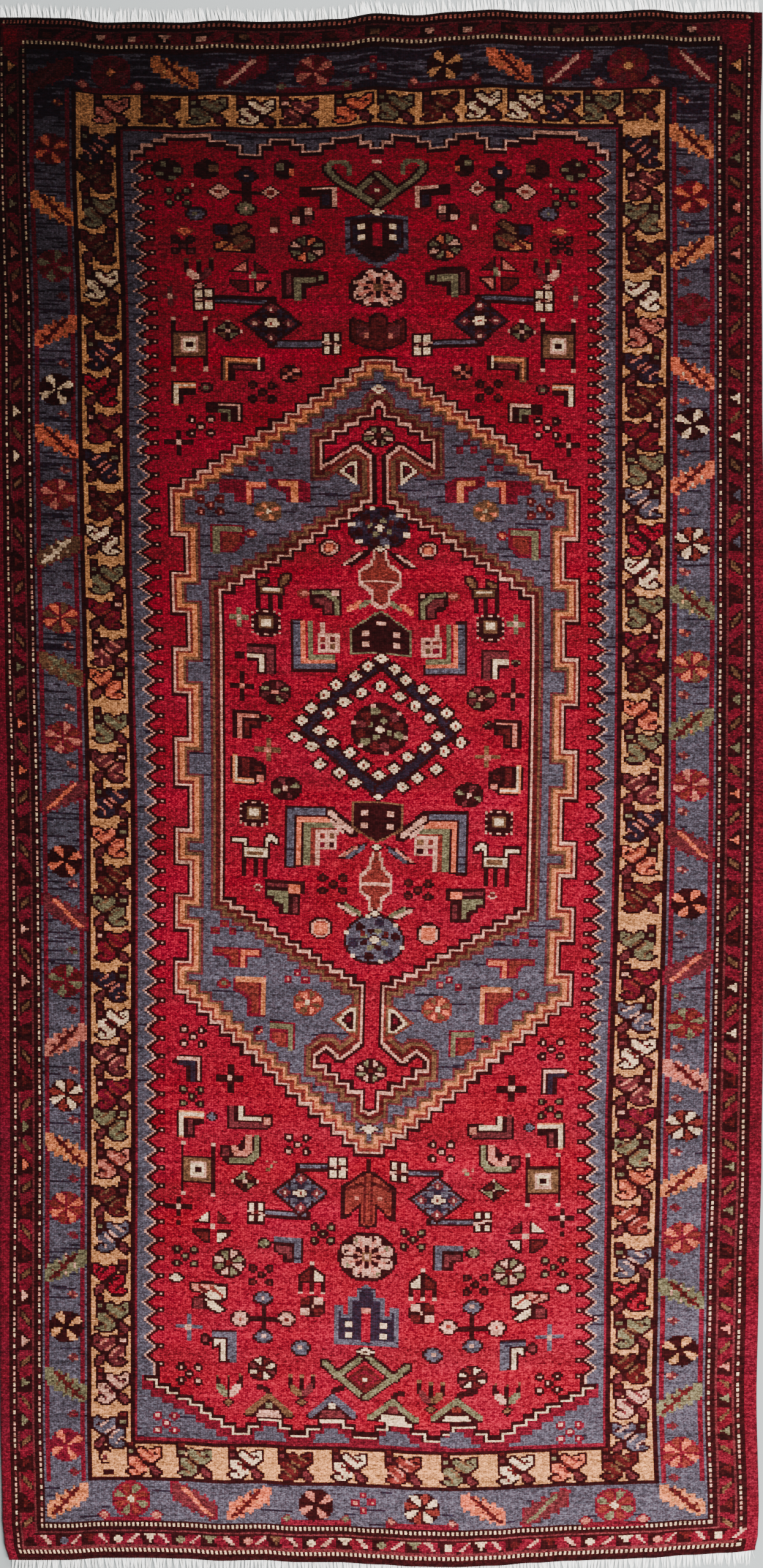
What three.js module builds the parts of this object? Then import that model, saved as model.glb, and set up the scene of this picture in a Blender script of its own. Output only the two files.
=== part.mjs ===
import * as THREE from "three";

// A hand-knotted village rug that lies flat, with a short cotton fringe at each end.
// Millimetres. +X runs across the rug, +Y along it to the head end, and +Z up from the floor.

// The knotted sheet. Its rim leans out below the pile's rounded top edge.
const SHEET_LENGTH = 2144;
const SHEET_COLUMNS = 40;
const SHEET_ROWS = 30;
const ROW_CROWDING = 0.6;
const RIM = [
  { height: 0, inset: 1.5 },
  { height: 3.2, inset: 0 },
  { height: 6.6, inset: 0.4 },
  { height: 9, inset: 3 },
];

// The long edges, up the rug: how far each lies to the left and right of the centre line.
const LONG_EDGES = [
  { along: -1072, left: -511, right: 526 },
  { along: -1049, left: -517, right: 530 },
  { along: -1015, left: -520, right: 531 },
  { along: -862, left: -523, right: 528 },
  { along: -700, left: -524, right: 531 },
  { along: -520, left: -524, right: 535 },
  { along: -350, left: -525, right: 537 },
  { along: -180, left: -526, right: 539 },
  { along: 0, left: -527, right: 540 },
  { along: 180, left: -529, right: 540 },
  { along: 360, left: -532, right: 538 },
  { along: 540, left: -535, right: 536 },
  { along: 900, left: -540, right: 534 },
  { along: 1040, left: -541, right: 536 },
  { along: 1072, left: -537, right: 536 },
];

// The two ends, from left to right: where the uneven last row of knots lies.
const END_EDGES = [
  { across: -540, foot: -1072, head: 1070 },
  { across: -486, foot: -1073, head: 1070 },
  { across: -432, foot: -1073, head: 1069 },
  { across: -378, foot: -1070, head: 1063 },
  { across: -324, foot: -1070, head: 1064 },
  { across: -270, foot: -1071, head: 1063 },
  { across: -216, foot: -1074, head: 1066 },
  { across: -162, foot: -1073, head: 1064 },
  { across: -108, foot: -1076, head: 1065 },
  { across: -54, foot: -1076, head: 1068 },
  { across: 0, foot: -1079, head: 1076 },
  { across: 54, foot: -1082, head: 1073 },
  { across: 108, foot: -1083, head: 1078 },
  { across: 162, foot: -1081, head: 1081 },
  { across: 216, foot: -1077, head: 1078 },
  { across: 270, foot: -1074, head: 1077 },
  { across: 324, foot: -1072, head: 1078 },
  { across: 378, foot: -1070, head: 1081 },
  { across: 432, foot: -1066, head: 1077 },
  { across: 486, foot: -1063, head: 1079 },
  { across: 540, foot: -1058, head: 1077 },
];

// The lie of the sheet: low swells where the weave is a little slack.
const SWELL_HEIGHT = 0.7;
const SWELL_ACROSS = 310;
const SWELL_ALONG = 460;

// The fringe: a narrow band of warp ends beside the last row, and the locks that leave it.
const PIECE_GAP = 0.3;
const BAND_WIDTH = 4.5;
const BAND_THICKNESS = 3;
const LOCKS_PER_END = 145;
const LOCK_LENGTH = 15.5;
const LOCK_LENGTH_SPREAD = 2.5;
const LOCK_ROOT_WIDTH = 5.4;
const LOCK_TIP_WIDTH = 2.8;
const LOCK_TIP_THICKNESS = 1.4;
const ROOT_WANDER = 0.9;
const TIP_WANDER = 0.9;
const LEAN_SPREAD = 1.6;
const LEAN_WAVES = 5;

const { lerp, clamp, smoothstep, seededRandom } = THREE.MathUtils;

// Wool pile in the rug's main red, and undyed cotton warps.
const woolPile = new THREE.MeshStandardMaterial({ color: 0x8e1c28, roughness: 0.95, metalness: 0 });
const cottonWarp = new THREE.MeshStandardMaterial({ color: 0xe9e4da, roughness: 0.9, metalness: 0 });

// Reads one column of a table at a place between its rows, eased from row to row.
function readTable(table, place, column, at) {
  const held = clamp(at, table[0][place], table[table.length - 1][place]);
  const upper = Math.max(1, table.findIndex((row) => row[place] >= held));
  const [before, after] = [table[upper - 1], table[upper]];
  const share = (held - before[place]) / (after[place] - before[place]);
  return lerp(before[column], after[column], smoothstep(share, 0, 1));
}

// A point of the sheet's outline grid, for shares from 0 to 1 across and along.
function sheetPoint(acrossShare, alongShare) {
  const level = lerp(-SHEET_LENGTH / 2, SHEET_LENGTH / 2, alongShare);
  const left = readTable(LONG_EDGES, "along", "left", level);
  const right = readTable(LONG_EDGES, "along", "right", level);
  const x = lerp(left, right, acrossShare);
  const foot = readTable(END_EDGES, "across", "foot", x);
  const head = readTable(END_EDGES, "across", "head", x);
  return new THREE.Vector2(x, lerp(foot, head, alongShare));
}

// The rows of the grid crowd towards the ends, where the corners turn.
function rowShare(row) {
  const share = row / SHEET_ROWS;
  return share - (ROW_CROWDING * Math.sin(2 * Math.PI * share)) / (2 * Math.PI);
}

function swell(x, y) {
  return SWELL_HEIGHT * Math.sin((2 * Math.PI * x) / SWELL_ACROSS + y / SWELL_ALONG)
    * Math.cos((2 * Math.PI * y) / SWELL_ALONG);
}

function knottedSheet() {
  const geometry = new THREE.BoxGeometry(1, 1, 1, SHEET_COLUMNS, SHEET_ROWS, RIM.length - 1);
  const corner = geometry.attributes.position;
  for (let i = 0; i < corner.count; i += 1) {
    const column = Math.round((corner.getX(i) + 0.5) * SHEET_COLUMNS);
    const row = Math.round((corner.getY(i) + 0.5) * SHEET_ROWS);
    const level = Math.round((corner.getZ(i) + 0.5) * (RIM.length - 1));
    const place = sheetPoint(column / SHEET_COLUMNS, rowShare(row));
    const { height, inset } = RIM[level];
    const rise = level === RIM.length - 1 ? swell(place.x, place.y) : 0;
    const inAcross = (column === 0) - (column === SHEET_COLUMNS);
    const inAlong = (row === 0) - (row === SHEET_ROWS);
    corner.setXYZ(i, place.x + inset * inAcross, place.y + inset * inAlong, height + rise);
  }
  geometry.computeVertexNormals();
  const sheet = new THREE.Mesh(geometry, woolPile);
  sheet.name = "knotted_sheet";
  return sheet;
}

// The last row of knots at one end, as the straight runs between the grid's columns.
function endRow(side) {
  const points = [];
  for (let column = 0; column <= SHEET_COLUMNS; column += 1) {
    points.push(sheetPoint(column / SHEET_COLUMNS, side > 0 ? 1 : 0));
  }
  return points;
}

function endRowAt(points, x) {
  const held = clamp(x, points[0].x, points[points.length - 1].x);
  const upper = Math.max(1, points.findIndex((point) => point.x >= held));
  const [before, after] = [points[upper - 1], points[upper]];
  return lerp(before.y, after.y, (held - before.x) / (after.x - before.x));
}

// One end's fringe: the outline of the band and its locks, raised, then thinned to the tips.
function fringe(name, side, seed) {
  const row = endRow(side);
  const bandRoot = side * PIECE_GAP;
  const bandEdge = side * (PIECE_GAP + BAND_WIDTH);
  const outline = new THREE.Shape(row.map((point) => new THREE.Vector2(point.x, point.y + bandRoot)));
  const pitch = (row[row.length - 1].x - row[0].x) / LOCKS_PER_END;
  seededRandom(seed);
  for (let lock = LOCKS_PER_END - 1; lock >= 0; lock -= 1) {
    const middle = row[0].x + (lock + 0.5) * pitch;
    const lean = LEAN_SPREAD * Math.sin((2 * Math.PI * LEAN_WAVES * lock) / LOCKS_PER_END);
    const tip = middle + lean + TIP_WANDER * (seededRandom() - 0.5);
    const length = LOCK_LENGTH + LOCK_LENGTH_SPREAD * (seededRandom() - 0.5);
    const tipY = endRowAt(row, middle) + bandEdge + side * length;
    const rootY = (x) => endRowAt(row, x) + bandEdge - side * ROOT_WANDER * seededRandom();
    outline.lineTo(middle + LOCK_ROOT_WIDTH / 2, rootY(middle + LOCK_ROOT_WIDTH / 2));
    outline.lineTo(tip + LOCK_TIP_WIDTH / 2, tipY);
    outline.lineTo(tip - LOCK_TIP_WIDTH / 2, tipY);
    outline.lineTo(middle - LOCK_ROOT_WIDTH / 2, rootY(middle - LOCK_ROOT_WIDTH / 2));
  }
  outline.closePath();
  const geometry = new THREE.ExtrudeGeometry(outline, { depth: BAND_THICKNESS, bevelEnabled: false });
  const corner = geometry.attributes.position;
  for (let i = 0; i < corner.count; i += 1) {
    if (corner.getZ(i) > 0) {
      const beyond = side * (corner.getY(i) - endRowAt(row, corner.getX(i)) - bandEdge);
      const share = clamp(beyond / LOCK_LENGTH, 0, 1);
      corner.setZ(i, lerp(BAND_THICKNESS, LOCK_TIP_THICKNESS, share));
    }
  }
  geometry.computeVertexNormals();
  const locks = new THREE.Mesh(geometry, cottonWarp);
  locks.name = name;
  return locks;
}

const rug = new THREE.Group();
rug.add(knottedSheet());
rug.add(fringe("head_fringe", 1, 11));
rug.add(fringe("foot_fringe", -1, 23));

// The origin is on the floor under the middle of the whole rug.
const middle = new THREE.Box3().setFromObject(rug).getCenter(new THREE.Vector3());
rug.position.set(-middle.x, -middle.y, 0);

export default rug;
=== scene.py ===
import bpy
import numpy as np
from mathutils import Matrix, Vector


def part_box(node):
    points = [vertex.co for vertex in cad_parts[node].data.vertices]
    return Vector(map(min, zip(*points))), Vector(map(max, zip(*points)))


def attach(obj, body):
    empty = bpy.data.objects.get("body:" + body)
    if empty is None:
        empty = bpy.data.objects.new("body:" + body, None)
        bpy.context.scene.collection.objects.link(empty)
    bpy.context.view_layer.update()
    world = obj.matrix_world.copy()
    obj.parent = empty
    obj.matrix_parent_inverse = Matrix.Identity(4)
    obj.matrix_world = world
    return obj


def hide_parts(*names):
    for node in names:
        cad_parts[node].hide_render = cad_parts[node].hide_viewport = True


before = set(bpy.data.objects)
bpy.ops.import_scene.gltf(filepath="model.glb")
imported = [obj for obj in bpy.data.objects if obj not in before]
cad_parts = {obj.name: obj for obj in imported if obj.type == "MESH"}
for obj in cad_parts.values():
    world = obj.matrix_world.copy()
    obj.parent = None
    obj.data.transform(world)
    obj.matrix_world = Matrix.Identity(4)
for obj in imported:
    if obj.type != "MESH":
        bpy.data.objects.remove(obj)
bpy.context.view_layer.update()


# The knots. The chart is drawn on squares, COLUMNS across and HEIGHT along, and each row of knots takes
# what lies there.
COLUMNS, ROWS, HEIGHT = 330, 864, 660
MIDDLE = COLUMNS / 2

# The yarns, by the letter that the motifs call them by: the name, and the colour in red, green and blue.
YARNS = {
    "r": ("field red", 170, 20, 44),
    "c": ("crimson", 124, 22, 40),
    "k": ("brown black", 42, 11, 12),
    "b": ("slate blue", 92, 88, 100),
    "n": ("navy", 36, 31, 46),
    "y": ("camel", 238, 158, 98),
    "w": ("cream", 248, 204, 158),
    "p": ("pale pink", 240, 164, 138),
    "o": ("coral", 250, 118, 82),
    "s": ("salmon", 226, 124, 104),
    "a": ("apricot", 240, 134, 84),
    "t": ("terracotta", 138, 52, 44),
    "m": ("maroon", 92, 26, 26),
    "g": ("sage", 126, 118, 86),
    "e": ("tan", 120, 82, 56),
    "v": ("dull rose", 112, 44, 48),
}
LETTERS = list(YARNS)

chart = np.zeros((ROWS, COLUMNS), np.uint8)
across = np.arange(COLUMNS) + 0.5
along = (np.arange(ROWS) + 0.5) * HEIGHT / ROWS


def turns(count):
    """Angles evenly round a centre."""
    return (np.arange(count) + 0.5) * 2 * np.pi / count


def near(points, margin):
    """The part of the chart round some points: its slices, and its knots' places."""
    low, high = points.min(0) - margin, points.max(0) + margin
    rows = slice(*np.searchsorted(along, [low[1], high[1]]))
    columns = slice(*np.searchsorted(across, [low[0], high[0]]))
    return (rows, columns), across[columns][None, :], along[rows][:, None]


def inside(points, x, y):
    """Which knots a closed outline holds."""
    found = np.zeros(np.broadcast(x, y).shape, bool)
    for (ax, ay), (bx, by) in zip(points, np.roll(points, -1, 0)):
        if ay != by:
            found ^= ((ay > y) != (by > y)) & (x < (bx - ax) * (y - ay) / (by - ay) + ax)
    return found


def reach(points, x, y):
    """How far the knots are from a line, with a square brush, so that its corners are square."""
    least = np.full(np.broadcast(x, y).shape, 1e9)
    for (ax, ay), (bx, by) in zip(points[:-1], points[1:]):
        dx, dy = bx - ax, by - ay
        share = np.clip(((x - ax) * dx + (y - ay) * dy) / max(dx * dx + dy * dy, 1e-9), 0, 1)
        least = np.minimum(least, np.maximum(abs(x - ax - share * dx), abs(y - ay - share * dy)))
    return least


class Pen:
    """Draws round a place. It mirrors where flip or turn is -1, and swaps x and y where it is sideways."""

    def __init__(self, x=0.0, y=0.0, flip=1, turn=1, sideways=False):
        self.origin = np.array([x, y], float)
        self.scale = np.array([flip, turn], float)
        self.sideways = sideways

    def at(self, x, y, flip=1, turn=1):
        """A pen at a place of this one, for a motif drawn round its own centre."""
        return Pen(*(self.scale * (x, y) + self.origin), *(self.scale * (flip, turn)))

    def points(self, flat):
        """Places on the chart, for a flat row of x and y."""
        points = np.array(flat, float).reshape(-1, 2)
        if self.sideways:
            points = points[:, ::-1]
        return points * self.scale + self.origin

    def area(self, yarn, *flat):
        points = self.points(flat)
        where, x, y = near(points, 0.5)
        chart[where][inside(points, x, y)] = LETTERS.index(yarn)

    def line(self, yarn, width, *flat):
        points = self.points(flat)
        where, x, y = near(points, width)
        chart[where][reach(points, x, y) < width / 2] = LETTERS.index(yarn)

    def spot(self, yarn, x, y, wide=1.0, high=None):
        high = wide if high is None else high
        self.area(yarn, x - wide / 2, y - high / 2, x + wide / 2, y - high / 2, x + wide / 2, y + high / 2,
                x - wide / 2, y + high / 2)

    def round(self, yarn, x, y, wide, high=None, sides=16):
        high = wide if high is None else high
        corners = [x + wide / 2 * np.cos(turns(sides)), y + high / 2 * np.sin(turns(sides))]
        self.area(yarn, *np.stack(corners, 1).ravel())

    def diamond(self, yarn, x, y, wide, high=None):
        high = wide if high is None else high
        self.area(yarn, x - wide / 2, y, x, y - high / 2, x + wide / 2, y, x, y + high / 2)


def panel(points, bands, ground):
    """A closed outline, in bands of yarn from the outside in, with the ground inside them."""
    points = np.array(points, float).reshape(-1, 2)
    where, x, y = near(points, 1)
    depth = reach(np.vstack([points, points[:1]]), x, y)
    held = inside(points, x, y)
    part = chart[where]
    part[held] = LETTERS.index(ground)
    for limit, yarn in reversed(bands):
        part[held & (depth < limit)] = LETTERS.index(yarn)


def steps(x0, y0, x1, y1, count, up_first=True):
    """The corners of a stair between two points."""
    xs, ys = np.linspace(x0, x1, count + 1), np.linspace(y0, y1, count + 1)
    corners = []
    for k in range(count):
        corners += [(xs[k], ys[k]), (xs[k], ys[k + 1]) if up_first else (xs[k + 1], ys[k])]
    return corners + [(x1, y1)]


def stair(x, y, *moves):
    """The corners of a line that runs along and across in turns."""
    corners = [(x, y)]
    for k, move in enumerate(moves):
        x, y = (move, y) if k % 2 else (x, move)
        corners.append((x, y))
    return corners


def mirrored(points):
    """A half outline, up its left side, closed by its mirror image."""
    return list(points) + [(2 * MIDDLE - x, y) for x, y in reversed(points)]


def halves():
    """A pen for each half of the rug, from its middle line outwards."""
    return Pen(MIDDLE), Pen(MIDDLE, flip=-1)


# The frames of the borders, from the edge inwards: how far each is from the sides, and where it starts at
# the foot and ends at the head.
FRAMES = [
    {"side": 0, "foot": 0, "head": 660, "yarn": "c"},
    {"side": 5.4, "foot": 0, "head": 660, "yarn": "k"},
    {"side": 8.6, "foot": 4.9, "head": 655.4, "yarn": "v"},
    {"side": 9.6, "foot": 5.8, "head": 654.6, "yarn": "k"},
    {"side": 16.2, "foot": 11.4, "head": 650.4, "yarn": "v"},
    {"side": 17, "foot": 12.1, "head": 649.6, "yarn": "k"},
    {"side": 21, "foot": 15.7, "head": 645.8, "yarn": "b"},
    {"side": 41.4, "foot": 33.1, "head": 628.6, "yarn": "k"},
    {"side": 43.4, "foot": 34.7, "head": 627, "yarn": "y"},
    {"side": 61.4, "foot": 48.5, "head": 613.5, "yarn": "k"},
    {"side": 63.2, "foot": 49.9, "head": 612, "yarn": "c"},
    {"side": 64.4, "foot": 51.4, "head": 610.8, "yarn": "b"},
]
DOT_LINES = [{"side": 7, "foot": 3.2, "head": 657.2}, {"side": 19, "foot": 13.8, "head": 647.6}]


def frames():
    pen = Pen()
    for f in FRAMES:
        left, right = f["side"], COLUMNS - f["side"]
        pen.area(f["yarn"], left, f["foot"], right, f["foot"], right, f["head"], left, f["head"])
    for f, head_yarn in zip(DOT_LINES, "sw"):
        rows = np.searchsorted(along, [f["foot"] - 0.4, f["head"]])
        first, last = f["side"], COLUMNS - 1 - f["side"]
        for row, yarn in zip(rows, "w" + head_yarn):
            chart[row:row + 2, first:last + 1:2] = LETTERS.index(yarn)
        for column, stride in ((first, 7), (last, 3)):
            for k, row in enumerate(range(rows[0], rows[1], 3)):
                chart[row:row + 2, column] = LETTERS.index("wpvwpwvpvw"[k * stride % 10])


def side_stripes():
    """The two thin crimson lines along the main border's sides."""
    for x in (22.8, 39.2):
        for half in halves():
            half.line("c", 2, x - MIDDLE, 34, x - MIDDLE, 628)


# The toothed edge of the field: rows where a tooth points inwards, and how many teeth follow each.
TOOTH_RUNS = {
    "left": [(81.8, 9), (149.4, 8), (212, 8), (276.4, 9), (342.8, 9), (409.9, 8), (470.6, 11), (538.8, 9),
            (597, 0)],
    "right": [(80.3, 10), (151, 8), (211.1, 11), (276.7, 8), (341.3, 10), (408.2, 12), (475.1, 11),
            (536.5, 8), (597, 0)],
}


def zigzag():
    """The toothed edge along both sides of the field, with a bead on a stem at each inner point."""
    red, black, pink, slate = (LETTERS.index(yarn) for yarn in "rkpb")
    for side, runs in TOOTH_RUNS.items():
        tips = np.cumsum([0] + [count for place, count in runs[:-1]])
        rows = np.flatnonzero((along > 77) & (along < 598))
        turn = np.interp(along[rows], [place for place, count in runs], tips)
        inset = (71.9 - 10 * abs(turn - np.round(turn))).astype(int)
        half = chart if side == "left" else chart[:, ::-1]
        for row, x in zip(rows, inset):
            half[row, 65:x] = slate
            half[row, x] = pink
            half[row, x + 1:x + 3] = black
            half[row, x + 3:76] = red
        for tip in range(tips[-1] + 1):
            row = np.searchsorted(along, np.interp(tip, tips, [place for place, count in runs]))
            half[row, 72:74] = black
            half[row - 1:row + 2, 73:76] = black
            half[row, 74] = pink


# The stepped ends of the field, up to its middle: a corner, and then the next y and the next x in turns.
FOOT_EDGE = stair(68, 78, 75, 72.5, 72, 77.5, 70, 82, 67.5, 87.5, 65, 92.5, 62.5, 96.8, 60, 101.8, 57,
        106.8, 54, 113.4, 57, 118, 60, 127.5, 57, 132, 54, 139.7, 57, 145, 60.4, 155.3, 57.4, 160, 54, 165)
HEAD_EDGE = stair(67.5, 598, 602, 71.5, 605, 76, 607.3, 80.5, 609.6, 98.6, 606.8, 105, 605.2, 110.8, 601.8,
        118.3, 606, 122.5, 608.4, 131.3, 606, 135.6, 603.2, 142.8, 606, 147.5, 608.2, 158.4, 605, 162.8,
        602.2, 165)


def field():
    foot, head = mirrored(FOOT_EDGE), mirrored(HEAD_EDGE)
    pen = Pen()
    pen.line("c", 5, *np.array([(x, y - 1.6) for x, y in foot]).ravel())
    pen.area("r", *np.array(foot + head[::-1]).ravel())
    pen.line("k", 2.4, *np.array([(x, y + 1) for x, y in foot]).ravel())
    pen.line("w", 0.9, *np.array(foot).ravel())
    pen.line("k", 2.6, *np.array([(x, y - 1) for x, y in head]).ravel())
    pen.line("p", 0.9, *np.array(head).ravel())


# Where the medallion's long sides stand out.
OUTWARD = [(239, 255), (266, 283), (294, 311), (327, 350), (367, 389), (402, 422), (436, 459.6)]
FOOT_ANCHOR = [(165, 191), (160.6, 193), (160.6, 200.4), (155.4, 200.4), (155.4, 204), (150.2, 204),
        (150.2, 207.4), (145.4, 207.4), (145.4, 211), (140.4, 211), (140.4, 217), (145.6, 221),
        (151.6, 215.6), (160.2, 222.6)]
HEAD_ANCHOR = [(161.4, 470), (155.4, 475.8), (141, 466.4), (141, 480), (146, 480), (146, 483.4),
        (150.8, 483.4), (150.8, 486.4), (155.6, 486.4), (155.6, 489), (162, 489), (162, 492.6),
        (165, 495.4)]


def medallion():
    left = steps(157.6, 173.4, 79, 239, 16, up_first=True)
    for k, (low, high) in enumerate(OUTWARD):
        if k:
            left += [(84.8, low), (79, low)]
        left += [(79, high)]
        if k < len(OUTWARD) - 1:
            left += [(84.8, high)]
    left += steps(79, 459.6, 156.6, 514, 15, up_first=False)
    panel(mirrored(left), [(1.2, "k"), (2.2, "p"), (3.5, "t"), (5, "a"), (6, "e"), (6.8, "v")], "b")
    # the red panel inside it, with its two anchors
    half = FOOT_ANCHOR + [(160.2, 246)] + steps(160.2, 246, 98.6, 282.4, 13, up_first=False)[1:]
    half += steps(98.6, 414.2, 161.4, 456, 13, up_first=False) + HEAD_ANCHOR
    line = np.array(mirrored(half)).ravel()
    for yarn, width in (("v", 8), ("e", 6), ("m", 3.2)):
        Pen().line(yarn, width, *line, *line[:2])
    panel(mirrored(half), [(1, "p"), (2.2, "k")], "r")


def both(draw):
    """Draws a motif in the left half of the field, and its mirror image in the right."""
    draw(Pen())
    draw(Pen(2 * MIDDLE, -0.6, -1))


def five_dots(pen, x, y, heart="p", edge="k", wide=7.6, high=5.9):
    pen = pen.at(x, y)
    places = [(dx * wide, dy * high) for dx, dy in ((-0.5, 0.5), (0.5, 0.5), (0, 0), (-0.5, -0.5),
            (0.5, -0.5))]
    for at in places:
        pen.round(edge, *at, 4.4, 4, 8)
    for at in places:
        pen.spot(heart, *at, 1.6, 1.4)


def cross(pen, x, y, yarn, heart="p", wide=12, high=12, thick=2.8):
    pen = pen.at(x, y)
    pen.spot(yarn, 0, 0, wide, thick)
    pen.spot(yarn, 0, 0, thick, high)
    pen.spot(heart, 0, 0, 2.4, 2.2)


def flower(pen, x, y, body, heart, wide=8, high=6.6, edge="k"):
    """A small diamond flower in an outline."""
    pen = pen.at(x, y)
    pen.round(edge, 0, 0, wide, high, 8)
    pen.diamond(body, 0, 0, wide - 1.2, high - 1)
    pen.spot(body, 0, 0, wide - 4.4, high - 2.6)
    pen.spot(heart, 0, 0, 1.8, 1.5)


def rosette(pen, x, y, wide, high, petals, heart="m", edge="k", count=8):
    """A round flower with petals in turns of colour, and dark lines between them."""
    pen = pen.at(x, y)
    pen.round(edge, 0, 0, wide, high)
    for k, turn in enumerate(turns(count)):
        flat = []
        for angle, far in ((0, 0.12), (-0.28, 0.34), (-0.2, 0.43), (0.2, 0.43), (0.28, 0.34)):
            flat += [far * wide * np.cos(turn + angle), far * high * np.sin(turn + angle)]
        pen.area(petals[k % len(petals)], *flat)
    pen.round(heart, 0, 0, wide * 0.2, high * 0.2, 8)


def bend(pen, yarns, points, widths):
    """Lines of several yarns on one path, the widest first."""
    for yarn, width in zip(yarns, widths):
        pen.line(yarn, width, *points)


def tulip(pen, x, y, left, right, base):
    pen = pen.at(x, y)
    pen.area("k", -6, 6.2, -6, 1.6, -1.2, -2.8, 1.2, -2.8, 6, 1.8, 6, 6.4, 4.2, 6.4, 3.6, 2.6, 0.9, 0.4,
            0.9, 6, -0.9, 6, -0.9, 0.4, -3.8, 3, -4.2, 6)
    pen.line(left, 2.3, -4.2, 1.6, -1.5, -1)
    pen.line(right, 2.3, 1.5, -1, 4.2, 1.9)
    for dx, dy in ((-5.1, 6.4), (0, 6.2), (5.1, 6.8)):
        pen.spot("e", dx, dy, 1.3)
    pen.diamond("k", 0, -4.7, 5.6, 4.6)
    pen.diamond(base, 0, -4.7, 3.6, 2.8)


def tent(pen, x, y, roof, base, heart, lean):
    """A roof on one of the raised steps of the field's foot, with a hook at its top."""
    pen = pen.at(x, y)
    pen.line("k", 2.2, 0, 6, lean * 1.2, 8.2, lean * 4, 9)
    pen.area("k", -11.5, -2.6, 0, 7.2, 11.5, -2.6, 10.5, -4, -10.5, -4)
    pen.line(roof, 2, -9.6, -2.2, 0, 5.2, 9.6, -2.2)
    pen.area(base, -5.8, -3.6, 5.8, -3.6, 4.4, -0.7, -4.4, -0.7)
    pen.spot(heart, 0, 1.4, 3.6, 2.6)


def four_triangles(pen, x, y, pale, dark):
    pen = pen.at(x, y)
    pen.area("k", -9, 1.2, -0.9, 1.2, -0.9, 7.4)
    pen.area(pale, -7.2, 2, -2, 2, -2, 6)
    pen.area("k", 1.4, 7.4, 8.4, 1.2, 1.4, 1.2)
    pen.area(dark, 2.3, 6, 7, 1.9, 2.3, 1.9)
    pen.area("k", -9, -1.4, -0.9, -1.4, -0.9, -7.4, -4, -7.2, -9, -3.4)
    pen.area(dark, -7.6, -2.2, -1.9, -2.2, -1.9, -6.4, -4, -6, -7.6, -3.4)
    pen.area("k", 1.4, -1.4, 8.4, -1.4, 8, -3.4, 3.6, -7.4, 1.4, -7.4)
    pen.area(pale, 2.3, -2.2, 7, -2.2, 3.2, -6.2, 2.3, -6.2)
    pen.spot("p", 0.2, -0.2, 2.2, 2.2)


def legged_square(pen, x, y):
    pen = pen.at(x, y)
    pen.line("k", 1.5, -6.6, -10, -6.6, 10.6)
    pen.line("k", 1.5, 6.6, -10, 6.6, 10.6)
    for dx in (-6.6, 6.6):
        for dy in (-10.6, 11):
            pen.spot("p", dx, dy, 1.7)
    pen.spot("k", 0, 0, 14.6, 12)
    pen.spot("e", 0, 0, 12.4, 10)
    pen.spot("p", 0, 0, 7.4, 6.6)
    pen.spot("e", 0, 0, 5.4, 4.6)
    pen.spot("w", 0, 0, 5.6, 4.8)
    pen.spot("k", 0, 0, 3.4, 2.2)


def small_diamond(pen, x, y, yarns=("g", "m")):
    pen = pen.at(x, y)
    pen.diamond("k", 0, 0, 13, 10)
    pen.area(yarns[0], -4.6, 0.5, -0.6, 0.5, -0.6, 3.6)
    pen.area(yarns[1], 0.8, 3.4, 0.8, 0.6, 4.4, 0.6)
    pen.area(yarns[1], -4.4, -0.6, -0.8, -0.6, -0.8, -3.6)
    pen.area(yarns[0], 0.8, -0.6, 4.6, -0.6, 0.8, -3.6)
    for dx, dy in ((-5.4, 0), (5.4, 0), (0, 4.2), (0, 0)):
        pen.spot("p", dx, dy, 1.4, 1.2)


def blue_diamond(pen, x, y, ground="b", dark="n"):
    pen = pen.at(x, y)
    pen.diamond("k", 0, 0, 25, 21)
    pen.diamond(ground, 0, 0, 21.5, 17.6)
    pen.diamond(dark, 0, 0, 17, 13.4)
    for rise in (1, -1):
        pen.line("k", 0.9, -5.4, -4.4 * rise, 5.4, 4.4 * rise)
    for dx, dy in ((0, 6.2), (-6.8, 0), (6.801, 0), (0, -6.2)):
        pen.diamond("v", dx, dy, 5.6, 4.4)
        pen.spot("p", dx, dy, 1.4)
    for dx, dy in ((-3, 2.6), (3, 2.6), (-3, -2.6), (3, -2.6)):
        pen.spot(ground, dx, dy, 2.4, 1.8)
    pen.spot("w", 0, 0, 6, 1.3)
    pen.spot("w", 0, 0, 3.6, 3.6)
    pen.spot("t", 0, 0, 1.4)


def club(pen, x, y, end, yarn="b"):
    """A four-petalled flower on a bar that runs to one side, as far as end."""
    pen.line("k", 3.6, x, y, end, y)
    pen.line(yarn, 1.6, x, y, end + np.sign(x - end), y)
    pen = pen.at(x, y)
    pen.spot("k", 0, 0, 8.6, 9.8)
    for dx, dy in ((-2, 2.6), (2, 2.6), (-2, -2.6), (2, -2.6)):
        pen.spot("w", dx, dy, 2.6, 2.8)
    pen.line("p", 1, -3.4, 0.6, 0, 0, 3.4, -0.8)
    pen.spot("m", 0.4, 0.4, 1.8, 1.5)


def house(pen, x, y):
    """A pointed roof of two halves on three legs."""
    pen = pen.at(x, y)
    pen.area("k", -6, 0.8, -6, -2.6, 6, -2.6, 6, 0.8, 0, 6.2)
    pen.area("m", -4.8, 0.4, -4.8, -1.6, -0.7, -1.6, -0.7, 4.2)
    pen.area("w", 0.7, 4.2, 0.7, -1.6, 4.6, -1.6, 4.6, 0.4)
    for dx in (-5.1, 0, 5.1):
        pen.line("k", 1.3, dx, -2, dx, -5.4)
        pen.spot("p", dx, -6.4, 1.6, 1.4)
    pen.spot("p", 0, 6, 1.4, 1.2)


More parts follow.
